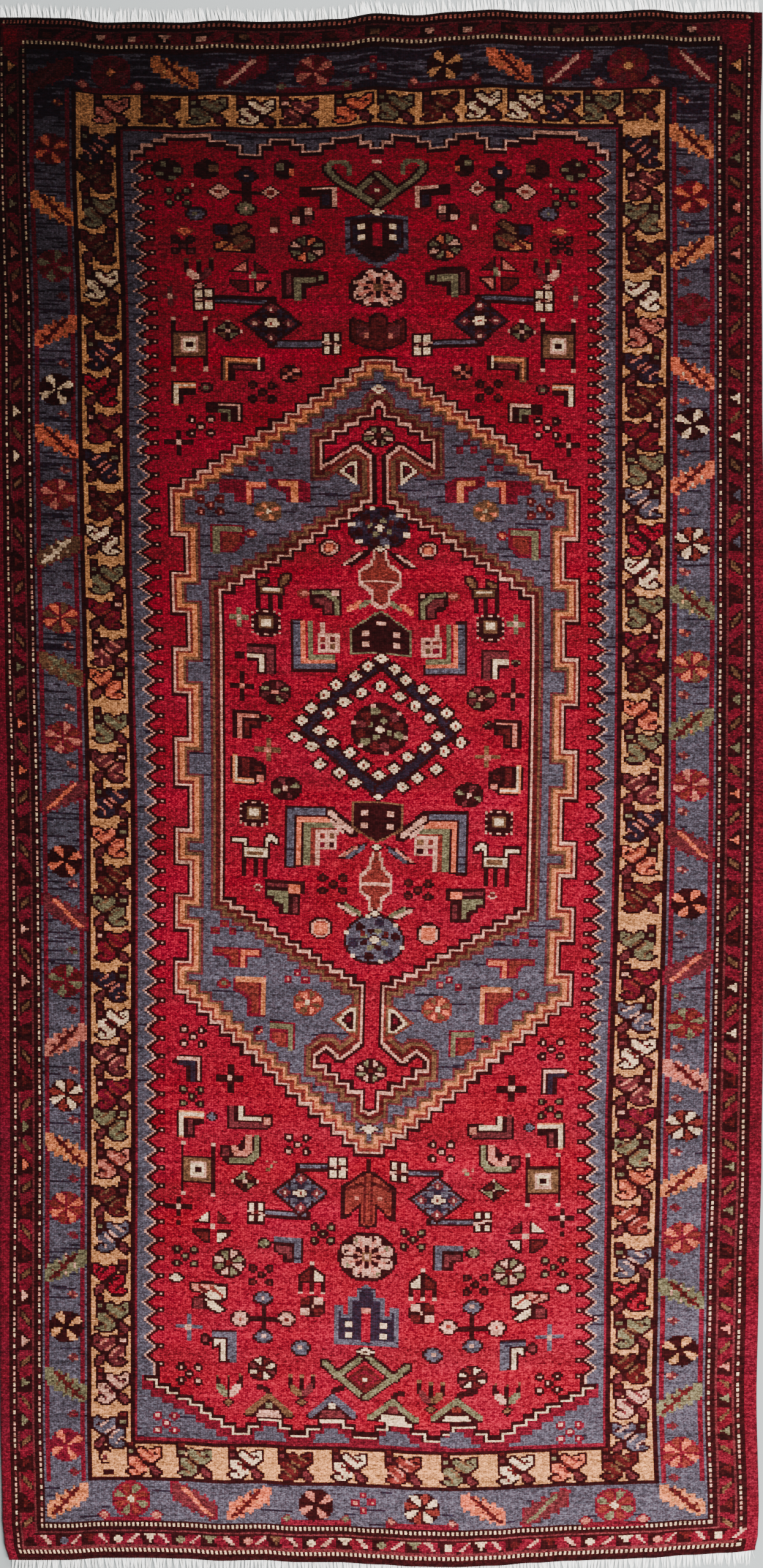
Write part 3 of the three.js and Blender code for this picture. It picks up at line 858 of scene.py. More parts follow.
def upper_field(pen):
    cross(pen, 84.2, 477.6, "k", "p", 11.4, 10.4, 2.4)
    five_dots(pen, 93.2, 484.6)
    five_dots(pen, 117.8, 499.8, "m")
    pen.area("k", 94.6, 495.2, 109.6, 495.2, 109.6, 486.8, 101, 486.8, 101, 490, 94.6, 490.6)
    pen.line("p", 1.1, 100.8, 494, 108.2, 494, 108.2, 487.6)
    pen.line("g", 1.8, 101, 491.4, 104.6, 491.4, 104.6, 487.8)
    pen.area("k", 81.2, 504, 91, 504, 91, 498.4, 86, 498.4, 86, 494.4, 81.2, 494.4)
    bend(pen, "aw", (83, 495, 83, 502.2, 90.2, 502.2), (2.3, 1.2))
    flower(pen, 95.2, 501.2, "v", "g", 6, 5)
    pen.area("k", 101.2, 515, 118.6, 515, 118.6, 508.6, 107, 508.6, 107, 504.4, 101.2, 504.4)
    bend(pen, "ea", (103.3, 505, 103.3, 513.2, 115, 513.2), (2.4, 1.2))
    pen.spot("v", 109.6, 510.4, 8, 2)
    pen.line("w", 1.2, 116.8, 510, 116.8, 514.4)
    quartered(pen, 129.2, 508, "s", "t", 9, 7)
    legged_square(pen, 88.4, 519.8)
    small_diamond(pen, 104, 525.6, ("g", "e"))
    club(pen, 94.6, 538.8, 122)
    club(pen, 146.2, 520.6, 122)
    blue_diamond(pen, 121.8, 529.6, "n", "k")
    cross(pen, 80.8, 540.4, "v", "p", 6, 9, 1.6)
    four_triangles(pen, 113.6, 549.4, "s", "m")
    pen.spot("g", 115.2, 550.2, 2.4, 3.4)
    tulip(pen, 93, 549.6, "p", "v", "p")
    pen.area("k", 126.2, 540.4, 126.2, 551.4, 129, 552.8, 139, 552.8, 145, 551, 145, 546.4, 140.6, 545.4,
            136, 544.6, 136, 540.4)
    pen.spot("v", 128.8, 546, 2.6, 9.4)
    bend(pen, "gg", (132.8, 541, 132.8, 548.2, 138.4, 548.2), (2.8, 2.8))
    pen.spot("g", 141.8, 548.6, 2.4, 2.4)
    rosette(pen, 136.8, 561.4, 15.4, 12, "gogpgogp")
    # the birds, the flowers and the crosses near the head
    bird(pen.at(107.6, 566, 1, -1), 0, 0, "a", "e", "n")
    pen.diamond("t", 87.8, 568.6, 8.4, 4.8)
    pen.diamond("o", 87.8, 568.6, 6, 3.2)
    five_dots(pen, 86.8, 562.4, "v", "k", 6.4, 5)
    flower(pen, 92.4, 575.8, "b", "g", 9.4, 7)
    pen.spot("m", 124, 571.8, 4.4, 7)
    pen.spot("p", 123.8, 569.2, 2.6, 2.4)
    pen.round("k", 135, 575.6, 11, 8.6, 8)
    for dx, dy, yarn in ((-2.6, -1.8, "p"), (2.4, 1.8, "p"), (-2.6, 1.8, "m"), (2.4, -1.8, "v")):
        pen.spot(yarn, 135 + dx, 575.6 + dy, 3.6, 2.8)
    pen.line("k", 3.8, 113, 579, 113, 595)
    pen.line("k", 2, 104, 585.2, 122, 585.2)
    for x, y, body, wide, high in ((102, 585, "p", 9.6, 6.6), (122.6, 585.6, "p", 7, 5.8)):
        pen.diamond("k", x, y, wide + 1.6, high + 1.6)
        pen.diamond(body, x, y, wide, high)
        pen.spot("t", x, y, 3, 1.8)
    flower(pen, 113, 592.4, "n", "p", 10, 7)
    flower(pen, 112.6, 578.2, "g", "p", 9.6, 7)
    pen.area("k", 134, 588.4, 149.4, 588.4, 149.4, 578.6, 142.4, 578.6, 142.4, 583.2, 134, 583.6)
    pen.spot("n", 144.6, 582, 2.8, 5)
    pen.line("p", 1.1, 139.6, 587.2, 148, 587.2, 148, 579.4)
    five_dots(pen, 85.6, 583, "g", "k", 7, 5.4)
    pen.spot("p", 91.4, 588, 1.4, 1.2)
    pen.round("k", 81.6, 594.6, 12.6, 9.6)
    for x, y in ((80, 597), (85.4, 594.8), (78.2, 592.8), (83.4, 591.4)):
        pen.spot("g", x, y, 2.8, 1.8)
    pen.round("k", 97, 594.8, 11.6, 9.8, 6)
    pen.spot("e", 99.8, 595, 3.8, 2.8)
    pen.round("k", 128, 595.4, 9, 9.8, 8)
    pen.spot("g", 126.4, 596.6, 3, 2.6)
    pen.spot("o", 131, 594.4, 2.8, 2.8)


def upper_middle():
    for half in halves():
        # the palmette and the castle, seen from their other side
        half.area("k", 0, 533, -3.8, 531, -3.8, 528, -10.6, 531.6, -12, 530.4, -12, 521.6, -7, 518, 0,
                515.6)
        half.area("m", 0, 531.6, -2.6, 530, -2.6, 526.6, -10, 530, -10.8, 529.4, -10.8, 522.2, -6.6, 519, 0,
                517)
        half.area("v", -4, 526, -9, 528.4, -9, 523.6, -4, 521)
        half.spot("s", -5, 523, 2.2, 1.8)
        half.area("b", 0, 574.6, -12.6, 574.6, -12.6, 558.6, -9.6, 558.6, -7, 555, -4, 553.6, 0, 551.4)
        half.area("k", 0, 573.2, -11.2, 573.2, -11.2, 560.4, -9, 560.4, -5.6, 556.6, -3, 555.2, 0, 553.6)
        half.spot("n", -8.6, 566.4, 2.6, 9)
        half.spot("w", -6.4, 569.6, 2.8, 2.4)
        half.spot("w", -6.4, 565.2, 2.8, 2.2)
        # the horned diamond
        half.line("k", 3.4, 0, 577.4, -8, 584.4, -15, 589.6, -20.2, 595.4)
        half.line("k", 3.4, -8, 584.4, 0, 591.4)
        half.line("g", 1.7, 0, 577.4, -8, 584.4, -15, 589.6, -20.2, 595.4, -17.6, 598, -13.2, 598, -10.4,
                594.8, -11.2, 592.8)
        half.line("g", 1.7, -8, 584.4, 0, 591.4)
        half.area("m", 0, 588.8, -5.6, 584.4, 0, 580.4)
    pen = Pen(MIDDLE)
    pen.spot("c", 0, 584.6, 5, 3.6)
    pen.spot("w", 0, 584.6, 1.8)
    pen.spot("r", 0, 566, 3.4, 10)
    pen.diamond("k", 0, 575.4, 8, 4.4)
    pen.diamond("w", 0, 575.4, 6.6, 3.2)
    pen.diamond("p", 0, 596.6, 5, 2.6)
    pen.round("k", 0, 543, 25.4, 17.6)
    for turn in turns(8):
        x, y = 8.2 * np.cos(turn), 543 + 5.8 * np.sin(turn)
        pen.round("p", x, y, 6.2, 4.4, 8)
        pen.round("k", 9.4 * np.cos(turn + 0.12), 543 + 6.6 * np.sin(turn + 0.12), 2.4, 1.7, 6)
        pen.line("s", 1.2, 3 * np.cos(turn), 543 + 2 * np.sin(turn), x, y)
    pen.round("e", 0, 543, 5, 3.6, 8)


def middle_field():
    both(lower_field)
    spandrels()
    lower_middle()
    both(blue_ground)
    anchors()
    diamond_of_stars()
    both(inner_field)
    inner_middle()
    both(upper_field)
    upper_middle()


# The main border's motifs by side, at their places along the rug, with their two yarns or, for the buds, by
# yarn. A leaf leans to the right (1) or to the left (-1).
PINWHEELS = {
    "left": {48: "oc", 97.5: "yk", 147.5: "ot", 195: "wt", 243: "mg", 293.5: "ok", 346: "ts", 398: "oe",
            453: "ts", 498: "wk", 551: "mg", 601: "om"},
    "right": {45.7: "ot", 90.5: "yk", 139.4: "ot", 188.2: "wt", 232.5: "tg", 284.5: "ok", 335.4: "ts",
            385.4: "oe", 436.4: "wt", 486.4: "wk", 535.3: "mv", 583.4: "oc"},
}
LEAVES = {
    "left": [(73, "ge", -1), (123, "gp", 1), (171.7, "ay", -1), (218, "so", 1), (271.7, "to", -1),
            (321, "to", 1), (375.5, "eg", -1), (427.6, "ew", 1), (476, "oa", -1), (523, "oa", 1),
            (575.5, "ay", -1)],
    "right": [(69.3, "ge", 1), (115.3, "gp", -1), (164.2, "ay", 1), (210, "so", -1), (256.5, "to", 1),
            (310, "to", -1), (361.3, "go", 1), (412, "gy", -1), (463.5, "ow", 1), (507.8, "ow", -1),
            (559.7, "ay", 1), (606.8, "ay", -1)],
}
BUDS = {
    "left": {"c": (37, 61, 136, 160, 412.5, 440), "s": (84.5, 111, 184.5, 205.5, 284, 334.6, 359, 386, 464,
            487.6, 509), "m": (231, 538), "g": (256,), "a": (622,)},
    "right": {"c": (35, 57.6, 129, 152.6, 595), "s": (79.6, 103.6, 176.6, 200, 221.7, 271, 299, 324, 348,
            373.6, 424.7), "o": (399.5, 449.4, 474, 496), "m": (521, 547), "g": (244,), "a": (572, 624)},
}
# The birds of the camel border, from the foot up.
BIRDS = {
    "left": {53.5: "b", 72: "p", 88: "v", 102: "g", 118: "r", 136: "b", 151: "m", 167: "s", 183.6: "g",
            196.5: "c", 211: "v", 226: "w", 242: "n", 259: "c", 274: "g", 287: "m", 303: "o", 320: "n",
            335.6: "v", 352: "g", 371: "o", 385: "v", 401.5: "c", 417: "g", 434.6: "w", 450: "m", 467: "n",
            483.5: "c", 499.5: "r", 515: "n", 530: "m", 545: "w", 561: "m", 576: "g", 591: "m", 604: "n"},
    "right": {54: "b", 69: "p", 84: "m", 99.4: "g", 115: "r", 129.5: "b", 148: "t", 163.6: "o", 177: "g",
            190: "c", 204: "v", 220: "w", 235.6: "b", 250: "c", 266.5: "g", 287.5: "m", 303: "o", 318: "n",
            333.6: "v", 351: "g", 365: "o", 381: "m", 393: "c", 408: "g", 424: "w", 438: "r", 452.7: "b",
            467: "g", 481: "c", 496: "m", 510: "n", 525.4: "s", 541: "w", 558: "m", 574: "g", 588: "v",
            602: "n"},
    "foot": {66: "o", 88.6: "g", 111: "w", 133.4: "m", 157: "w", 180.4: "t", 204.2: "g", 228: "w", 250: "o",
            272: "m"},
    "head": {58: "s", 78: "m", 97: "g", 116.4: "w", 133.6: "v", 155: "o", 172.4: "g", 191: "m", 209.4: "w",
            227: "w", 242.6: "n", 259: "g", 276: "m"},
}
# The guard's pale triangles by yarn, at their places along the rug.
TEETH = {
    "left": {"m": (24, 41, 128, 146, 200, 221, 286, 308, 399, 422, 446, 512, 597),
            "g": (58, 73.6, 181, 375.5, 577, 618), "p": (91, 110, 242, 264), "o": (165, 331, 351),
            "w": (469, 488), "s": (537, 556), "y": (638,)},
    "right": {"m": (22, 38, 117, 134, 189, 208, 270, 291, 394, 416, 518, 538),
            "g": (54.6, 69, 151, 170, 351.5, 372, 600, 617), "s": (83, 99.5, 559, 579),
            "w": (228, 248, 481, 497.5), "o": (312, 332), "b": (437, 456), "y": (638,)},
    "foot": {"w": (54, 68.5, 139.8, 155, 199.5, 213.5, 260, 275, 313.5), "g": (82, 95, 171, 185),
            "s": (112, 288), "e": (124.5,), "b": (29,), "m": (41, 228, 243, 300)},
    "head": {"p": (54, 67.5, 80.5, 95, 187, 203, 298), "e": (112, 164, 256, 241),
            "m": (30, 130, 147, 221, 276)},
}


def pinwheel(pen, x, y, yarns):
    """Eight blades round a point, in turns of two yarns, with dark lines between them."""
    pen = pen.at(x, y)
    edge = "k" if "k" in yarns or yarns in ("wt", "wc") else "c"
    pen.round(edge, 0, 0, 16, 14, 12)
    for k in range(8):
        turn = k * np.pi / 4 + 0.3
        flat = [0.6 * np.cos(turn + 0.2), 0.5 * np.sin(turn + 0.2)]
        for angle, far in ((-0.12, 0.75), (0.0, 0.97), (0.36, 1.04), (0.5, 0.8), (0.42, 0.45)):
            flat += [7.8 * far * np.cos(turn + angle), 6.7 * far * np.sin(turn + angle)]
        pen.area(yarns[k % 2], *flat)


LEAF_SIDE = [(-9.5, -3.4), (-9.6, -6.8), (-6, -7.2), (-5, -5.4), (-2.6, -6.4), (-1.4, -3.8), (1.2, -4.8),
        (2.2, -2.2), (5, -2.9), (5.8, -0.4), (8.6, -0.6)]
LEAF = LEAF_SIDE + [(-x, -y) for x, y in LEAF_SIDE]


def leaf(pen, x, y, yarns, lean):
    """A leaf with notched edges and a vein, that leans to one side."""
    pen = pen.at(x, y, lean)
    dark = yarns[0] in "etmc"
    shape = np.array(LEAF)
    if dark:
        pen.area("c" if yarns[0] != "c" else "m", *(1.1 * shape).ravel())
    pen.area(yarns[0].replace("t", "v"), *shape.ravel())
    vein = yarns[1] if dark else "m"
    pen.line(vein, 1.2, -7.4, -5.6, -4.4, -3.8, -1.4, -0.6, 1.6, 2.4, 4.6, 5)
    if dark and yarns[0] != "e":
        return
    for px, py in ((-0.2, -3), (3.6, 0.4), (-3.4, 1.6), (0.4, 4.2)):
        pen.spot(yarns[1], px, py, 1, 1.6)
    for px, py in ((-4.4, -3.8), (-1.4, -0.6), (1.6, 2.4)):
        pen.line(vein, 0.9, px - 1.4, py + 1.8, px, py, px + 1.8, py - 0.6)


def bud(pen, x, y, yarn):
    """A small dim flower between the large ones."""
    pen = pen.at(x, y)
    pen.diamond("v", 0, 0, 5.6, 4)
    pen.spot(yarn, -1.2, 0.6, 1.6, 1.2)
    pen.spot(yarn, 1.2, -0.7, 1.6, 1.2)


def border_rosette(pen, x, y, petal="t", pale="g", heart="w"):
    """A round flower in the main border, with a bud at each end of its stem."""
    pen = pen.at(x, y)
    pen.line("c", 2.2, -12, -8.2, 12, -8.2)
    rosette(pen, 0, 0, 18, 15.6, petal + pale, heart, "c")
    pen.round(petal, 0, 0, 6, 5, 8)
    pen.diamond(heart, 0, 0, 4.2, 3.4)
    for dx in (-12.4, 11.4):
        pen.diamond("c", dx, -6.4, 6.6, 5.2)
        pen.diamond("s", dx, -6.4, 4.8, 3.6)


WING = (-2.2, 4.9, -0.4, 5.3, 2, 4, 4.8, 4.6, 6.4, 5.8, 8, 5.4, 8, 1.8, 6.2, 0.4, 4.8, -0.8, 2.6, -1.2,
        -1.2, 2.5, -2.2, 3)
BODY = (-6.1, 0.9, -2.8, 1.4, -0.5, -0.6, 1.7, -2.8, 1.5, -4.9, -1.1, -6.8, -4.5, -6.8, -6.9, -5.4, -4.4,
        -3.9, -5.7, -2)
TAIL = (3.4, -2.4, 5.4, -3.2, 7.8, -5.6, 6.8, -7.2, 4.6, -6.4, 3.4, -4.4)


def bird_unit(pen, yarn):
    """One bird of the camel border: two squares on black, a wing, a body with its foot, and a leaf."""
    inner = {"p": "v", "w": "m", "r": "k", "c": "t", "g": "e", "o": "t", "s": "t", "v": "s", "m": "e",
            "t": "s", "b": "p", "n": "s"}[yarn]
    pen.area("k", -7.4, 8.4, -3.4, 8.4, -2.8, 5, -3.4, 2, -7.4, 1.6)
    for shape in (WING, BODY, TAIL):
        pen.line("k", 1.7, *shape, *shape[:2])
    pen.area(yarn, *WING)
    pen.area(yarn, *BODY)
    pen.area("v", *TAIL)
    pen.spot("m", -5.2, 6.9, 2.4, 1.6)
    pen.spot("g" if yarn in "gobn" else "p" if yarn in "ncv" else "v", -5.2, 3.9, 2.4, 1.6)
    for shift in (-1.5, 1.1):
        pen.line(inner, 0.9, shift + 0.6, shift + 3, shift + 2.4, shift + 1.8, shift + 3.8, shift + 1)
        pen.line(inner, 0.9, shift - 4, shift - 1, shift - 2, shift - 2.2, shift - 0.8, shift - 3.8)
    pen.line("k", 0.9, 5.4, 3.4, 6.8, 2.4)
    pen.line("k", 0.9, -5, -3.4, -3.4, -4)


def guard(side, place):
    """One strip of the guard: teeth, with slanting bars of red and grey between them."""
    found = sorted((at, yarn) for yarn, places in TEETH[side].items() for at in places)
    found = [(found[0][0] - 16, None), *found, (found[-1][0] + 16, None)]
    middle_bar = {"foot": "p", "head": "v"}.get(side, "e")
    for k, (at, yarn) in enumerate(found):
        lean = -1 if k % 2 else 1
        pen = place(at)
        if yarn:
            pen.area("k", -4.4, 3.4, 4.4, 3.4, 3.6, -3.4, -3.6, -3.4)
        if k + 1 < len(found):
            gap = found[k + 1][0] - at
            for share, bar, wide, tall in ((0.27, "c", 3.1, 2.9), (0.5, middle_bar, 1.5, 2.1),
                    (0.73, "c", 3.1, 2.9)):
                place(at + gap * share).area(
                    bar, -wide * 0.6 - 2 * lean, tall, wide - 2 * lean, tall,
                    wide * 0.6 + 2 * lean, -tall, -wide + 2 * lean, -tall)
        if not yarn:
            continue
        if side in ("foot", "head") and k % 2:
            pen.round(yarn, 0, -0.2, 4.6, 4, 6)
        else:
            pen.area(yarn, -2.8, 2.2, 2.8, 2.2, 0.8, -0.2, 0, -2.4, -0.8, -0.2)


def borders():
    """The motifs of all the borders."""
    for side, flip, x, birds, strip in (("left", 1, 31.6, 52.2, 12.9), ("right", -1, 298.5, 277.8, 317.1)):
        for y, yarns in PINWHEELS[side].items():
            pinwheel(Pen(x, y, flip), 0, 0, yarns)
        for y, yarns, lean in LEAVES[side]:
            leaf(Pen(x, y), 0, 0, yarns, lean)
        for yarn, places in BUDS[side].items():
            for y in places:
                bud(Pen(x + 3.2 * flip, y), 0, 0, yarn)
        for k, (y, yarn) in enumerate(BIRDS[side].items()):
            bird_unit(Pen(birds, y, 1 if k % 2 else -1), yarn)
        guard(side, lambda at: Pen(strip, at, -flip, 1, True))
    for end, y, turn in (("foot", 41.5, 0.92), ("head", 620.6, 0.86)):
        for x, yarn in BIRDS[end].items():
            bird_unit(Pen(x, y, 1, turn), yarn)
    pen = Pen()
    pen.round("k", 49, 43.6, 7, 8, 8)
    pen.round("y", 49.6, 42.8, 4.6, 5, 8)
    pen.spot("v", 49.2, 42.6, 2.4, 2.4)
    pen.spot("k", 50.4, 36.6, 4.6, 2.4)
    guard("foot", lambda at: Pen(at, 8.6, 1, 0.82))
    guard("head", lambda at: Pen(at, 652.2, 1, 0.72))
    for x, lean in ((31.5, 1), (298.4, -1)):
        leaf(pen, x, 25, "ay", lean)
    for x, y, yarns, lean in ((88.6, 25, "to", -1), (113, 24.6, "oa", 1), (214.6, 24.6, "oa", -1),
            (241, 24, "tg", 1), (84.6, 637.4, "ay", -1), (111.6, 637.6, "cp", 1), (221, 637, "oa", -1),
            (245.2, 636.6, "cp", 1), (31.6, 634.6, "mv", 1), (298.4, 638, "cp", -1)):
        leaf(pen, x, y, yarns, lean)
    border_rosette(pen, 60.6, 25)
    border_rosette(pen, 270.4, 24)
    border_rosette(pen, 58.6, 637.4, "m", "v", "a")
    border_rosette(pen, 271, 637, "t", "v", "y")
    for x, y, yarns in ((142.6, 24.8, "sk"), (188.4, 24.8, "wt"), (140, 637.6, "sm"), (193.4, 637.6, "yk")):
        pen.line("c", 2.2, x - 14, y - 7.8, x + 14, y - 7.8)
        for dx in (-13, 13):
            pen.diamond("v", x + dx, y - 6, 5.4, 4.4)
            pen.diamond("g" if yarns in ("sk", "sm") else "s", x + dx, y - 6, 4, 3)
        pinwheel(pen, x, y, yarns)
    for y in (26, 636.4):
        for dx, dy in ((-3.6, 0), (3.6, 0.4), (0, 3.4), (0, -3)):
            pen.spot("c", 163.6 + dx, y + dy, 3.4, 3)
            pen.spot("s", 163.6 + dx, y + dy, 1.3, 1.1)
    for half in halves():
        half.area("c", -157, 643, -151, 642.4, -145.6, 648, -145, 656.4, -158.6, 656.6)
        half.area("r", -156, 647, -149, 649, -148.6, 655, -157, 655)


def abrash():
    """Streaks of darker slate, most of them in the left border and towards the head."""
    rng = np.random.default_rng(3)
    slate, navy = LETTERS.index("b"), LETTERS.index("n")
    for row in range(ROWS):
        column = 0
        while column < COLUMNS:
            wide = rng.integers(3, 16)
            level = along[row] / HEIGHT
            often = 0.02 + 0.2 * level ** 3 + 0.12 * (column < 40) * (0.3 + level) + 0.45 * (level > 0.93)
            if rng.random() < often:
                part = chart[row, column:column + wide]
                part[part == slate] = navy
            column += wide


frames()
side_stripes()
field()
zigzag()
medallion()
middle_field()
borders()
abrash()


# The lie of the woven lines: how far each strays from its even place, in columns, by row of the chart.
EVEN_LINES = [0, 7, 19, 43, 62, 165, 268, 287, 311, 323, 330]
STRAY = {
    0: [0, -1.1, -2.0, -3.5, -4.5, -6.0, -3.5, -2.0, -1.2, 0.0, 0],
    76: [0, -1.1, -2.2, -3.0, -4.0, -6.0, -3.0, -3.0, -1.7, -1.0, 0],
    190: [0, -0.2, -1.8, -3.0, -4.0, -5.0, -4.0, -3.0, -1.5, -0.7, 0],
    305: [0, -0.5, -2.4, -2.8, -3.6, -2.0, -1.5, -1.0, -0.5, -0.2, 0],
    382: [0, -1.4, -3.4, -3.6, -4.6, 0.5, -0.5, -0.4, 0.0, 0.2, 0],
    458: [0, -1.0, -3.5, -4.1, -5.2, 0.5, 0.6, 1.0, 1.0, 1.0, 0],
    535: [0, -0.6, -3.0, -4.0, -5.0, 1.0, 1.3, 2.0, 1.5, 1.6, 0],
    596: [0, -1.2, -4.1, -5.3, -6.4, 1.0, 2.0, 1.8, 1.7, 2.0, 0],
    660: [0, -1.2, -4.1, -5.3, -6.4, 1.0, 2.0, 1.8, 1.7, 2.0, 0],
}
# How far the right end of a row of knots lies below its left end, by row.
TILT = {0: 0, 76: 6, 153: 9, 229: 12, 305: 15, 367: 15, 412: 12, 458: 7, 520: 7, 596: 7, 660: 0}

# The outline, as in the CAD part, in millimetres: the left and right edges by place along the rug, and the
# foot and head edges by place across it.
HALF_LENGTH = 1072
LONG_EDGES = [
    (-1072, -511, 526), (-1049, -517, 530), (-1015, -520, 531), (-862, -523, 528), (-700, -524, 531),
    (-520, -524, 535), (-350, -525, 537), (-180, -526, 539), (0, -527, 540), (180, -529, 540),
    (360, -532, 538), (540, -535, 536), (900, -540, 534), (1040, -541, 536), (1072, -537, 536),
]
END_EDGES = [
    (-540, -1072, 1070), (-486, -1073, 1070), (-432, -1073, 1069), (-378, -1070, 1063), (-324, -1070, 1064),
    (-270, -1071, 1063), (-216, -1074, 1066), (-162, -1073, 1064), (-108, -1076, 1065), (-54, -1076, 1068),
    (0, -1079, 1076), (54, -1082, 1073), (108, -1083, 1078), (162, -1081, 1081), (216, -1077, 1078),
    (270, -1074, 1077), (324, -1072, 1078), (378, -1070, 1081), (432, -1066, 1077), (486, -1063, 1079),
    (540, -1058, 1077),
]


def eased(table, at, column):
    """One column of an edge table, eased from row to row as in the CAD part."""
    table = np.array(table, float)
    place = table[:, 0]
    held = np.clip(at, place[0], place[-1])
    upper = np.clip(np.searchsorted(place, held), 1, len(place) - 1)
    share = (held - place[upper - 1]) / (place[upper] - place[upper - 1])
    share = share * share * (3 - 2 * share)
    return table[upper - 1, column] * (1 - share) + table[upper, column] * share


def on_sheet(u, v):
    """A point of the sheet in millimetres, for shares from 0 to 1 across and along."""
    level = -HALF_LENGTH + 2 * HALF_LENGTH * v
    x = eased(LONG_EDGES, level, 1) * (1 - u) + eased(LONG_EDGES, level, 2) * u
    y = eased(END_EDGES, x, 1) * (1 - v) + eased(END_EDGES, x, 2) * v
    return x, y


def shares(column, row):
    """Where a knot of the chart really lies, with the lines' straying and the rows' tilt."""
    stray = np.array(list(STRAY.values()), float)
    lines = [np.interp(row, list(STRAY), stray[:, k]) for k in range(len(EVEN_LINES))]
    off = np.zeros(np.broadcast(column, row).shape)
    for k in range(len(EVEN_LINES) - 1):
        low, high = EVEN_LINES[k], EVEN_LINES[k + 1]
        t = (column - low) / (high - low)
        off = np.where((t >= 0) & (t <= 1), lines[k] * (1 - t) + lines[k + 1] * t, off)
    tilt = np.interp(row, list(TILT), list(TILT.values()))
    return (column + off) / COLUMNS, (row - tilt * (column / COLUMNS - 0.5)) / HEIGHT


# The sheet is shifted so that its middle is the CAD solid's.
sheet_low, sheet_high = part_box("knotted_sheet")
ends = np.linspace(0, 1, 200)
edge_x = np.concatenate([on_sheet(np.full(200, u), ends)[0] for u in (0.0, 1.0)])
edge_y = np.concatenate([on_sheet(ends, np.full(200, v))[1] for v in (0.0, 1.0)])
SHIFT = np.array([
    (sheet_low[0] + sheet_high[0]) * 500 - (edge_x.min() + edge_x.max()) / 2,
    (sheet_low[1] + sheet_high[1]) * 500 - (edge_y.min() + edge_y.max()) / 2,
    0,
])


def made_mesh(name, points, quads, uv=None):
    """A mesh piece from its points in millimetres, its faces and, where there is one, its corner map."""
    mesh = bpy.data.meshes.new(name)
    mesh.vertices.add(len(points))
    mesh.vertices.foreach_set("co", ((points + SHIFT) / 1000).astype(np.float32).ravel())
    mesh.loops.add(quads.size)
    mesh.loops.foreach_set("vertex_index", quads.ravel().astype(np.int32))
    mesh.polygons.add(len(quads))
    mesh.polygons.foreach_set("loop_start", np.arange(0, quads.size, 4).astype(np.int32))
    if uv is not None:
        mesh.uv_layers.new(name="knot").data.foreach_set("uv", uv.astype(np.float32).ravel())
    mesh.update(calc_edges=True)
    mesh.validate()
    piece = bpy.data.objects.new(name, mesh)
    bpy.context.scene.collection.objects.link(piece)
    return piece


def give(piece, name, values, domain="FACE"):
    layer = piece.data.attributes.new(name, "FLOAT", domain)
    layer.data.foreach_set("value", np.asarray(values, np.float32).ravel())


def smooth(piece):
    piece.data.polygons.foreach_set("use_smooth", np.ones(len(piece.data.polygons), bool))


# The sheets are one grid of faces, each with two by two knots. Its rim runs anticlockwise, and comes with
# the face beside each of its points and the side that it is on.
STEP = 2
ACROSS, ALONG = COLUMNS // STEP, ROWS // STEP
CORNERS = np.arange((ACROSS + 1) * (ALONG + 1)).reshape(ALONG + 1, ACROSS + 1)
FACES = np.arange(ACROSS * ALONG).reshape(ALONG, ACROSS)
RIM = np.concatenate([CORNERS[0, :-1], CORNERS[:-1, -1], CORNERS[-1, :0:-1], CORNERS[:0:-1, 0]])
RIM_FACES = np.concatenate([FACES[0], FACES[:, -1], FACES[-1, ::-1], FACES[::-1, 0]])
RIM_SIDES = np.repeat([0, 1, 2, 3], [ACROSS, ALONG, ACROSS, ALONG])
QUADS = np.stack([CORNERS[:-1, :-1], CORNERS[:-1, 1:], CORNERS[1:, 1:], CORNERS[1:, :-1]], -1)
QUADS = QUADS.reshape(-1, 4)
QUAD_UV = np.tile(np.array([[0, 0], [1, 0], [1, 1], [0, 1]], float), (len(QUADS), 1)).reshape(-1, 4, 2)
# The yarns of a face's four knots and the twelve round them, as four numbers.
YARN_ROWS = ("row_a", "row_b", "row_c", "row_d")


def knot_grid():
    """The grid's points in millimetres."""
    column, row = np.meshgrid(np.arange(ACROSS + 1) * STEP, np.arange(ALONG + 1) * STEP * HEIGHT / ROWS)
    u, v = shares(column.astype(float), row)
    return on_sheet(u, v)


def give_yarns(piece, owner):
    """Gives each face the yarns of the grid face that owns it: each number is one row of four."""
    padded = np.pad(chart, 1, mode="edge").astype(int)
    for r, name in enumerate(YARN_ROWS):
        packed = np.zeros((ALONG, ACROSS), int)
        for c in range(4):
            packed += padded[r:r + ROWS:STEP, c:c + COLUMNS:STEP][:ALONG, :ACROSS] << (4 * c)
        give(piece, name, packed.ravel()[owner])


def outwards(ways):
    """The unit vectors out of the rim, for the vectors along it."""
    out = np.stack([ways[:, 1], -ways[:, 0]], 1)
    return out / np.linalg.norm(out, axis=1)[:, None]


def between(lower, upper):
    """A strip of faces between two loops of points."""
    return np.stack([lower, np.roll(lower, -1), np.roll(upper, -1), upper], 1)


# The pile's height in millimetres, and its rounded edge: how far each loop lies inside the rim, and its
# height.
PILE_TOP = 9.0
PILE_EDGE = [(1.1, 7.8), (0.1, 5.8), (0.0, 3.0), (1.2, 0.9)]
# The edge takes its yarns from the outermost half knot of the face beside it, between these shares of it.
LOW, HIGH = 0.02, 0.2
EDGE_UV = np.array([
    [(0, LOW), (1, LOW), (1, HIGH), (0, HIGH)],
    [(1 - LOW, 0), (1 - LOW, 1), (1 - HIGH, 1), (1 - HIGH, 0)],
    [(1, 1 - LOW), (0, 1 - LOW), (0, 1 - HIGH), (1, 1 - HIGH)],
    [(LOW, 1), (LOW, 0), (HIGH, 0), (HIGH, 1)],
])


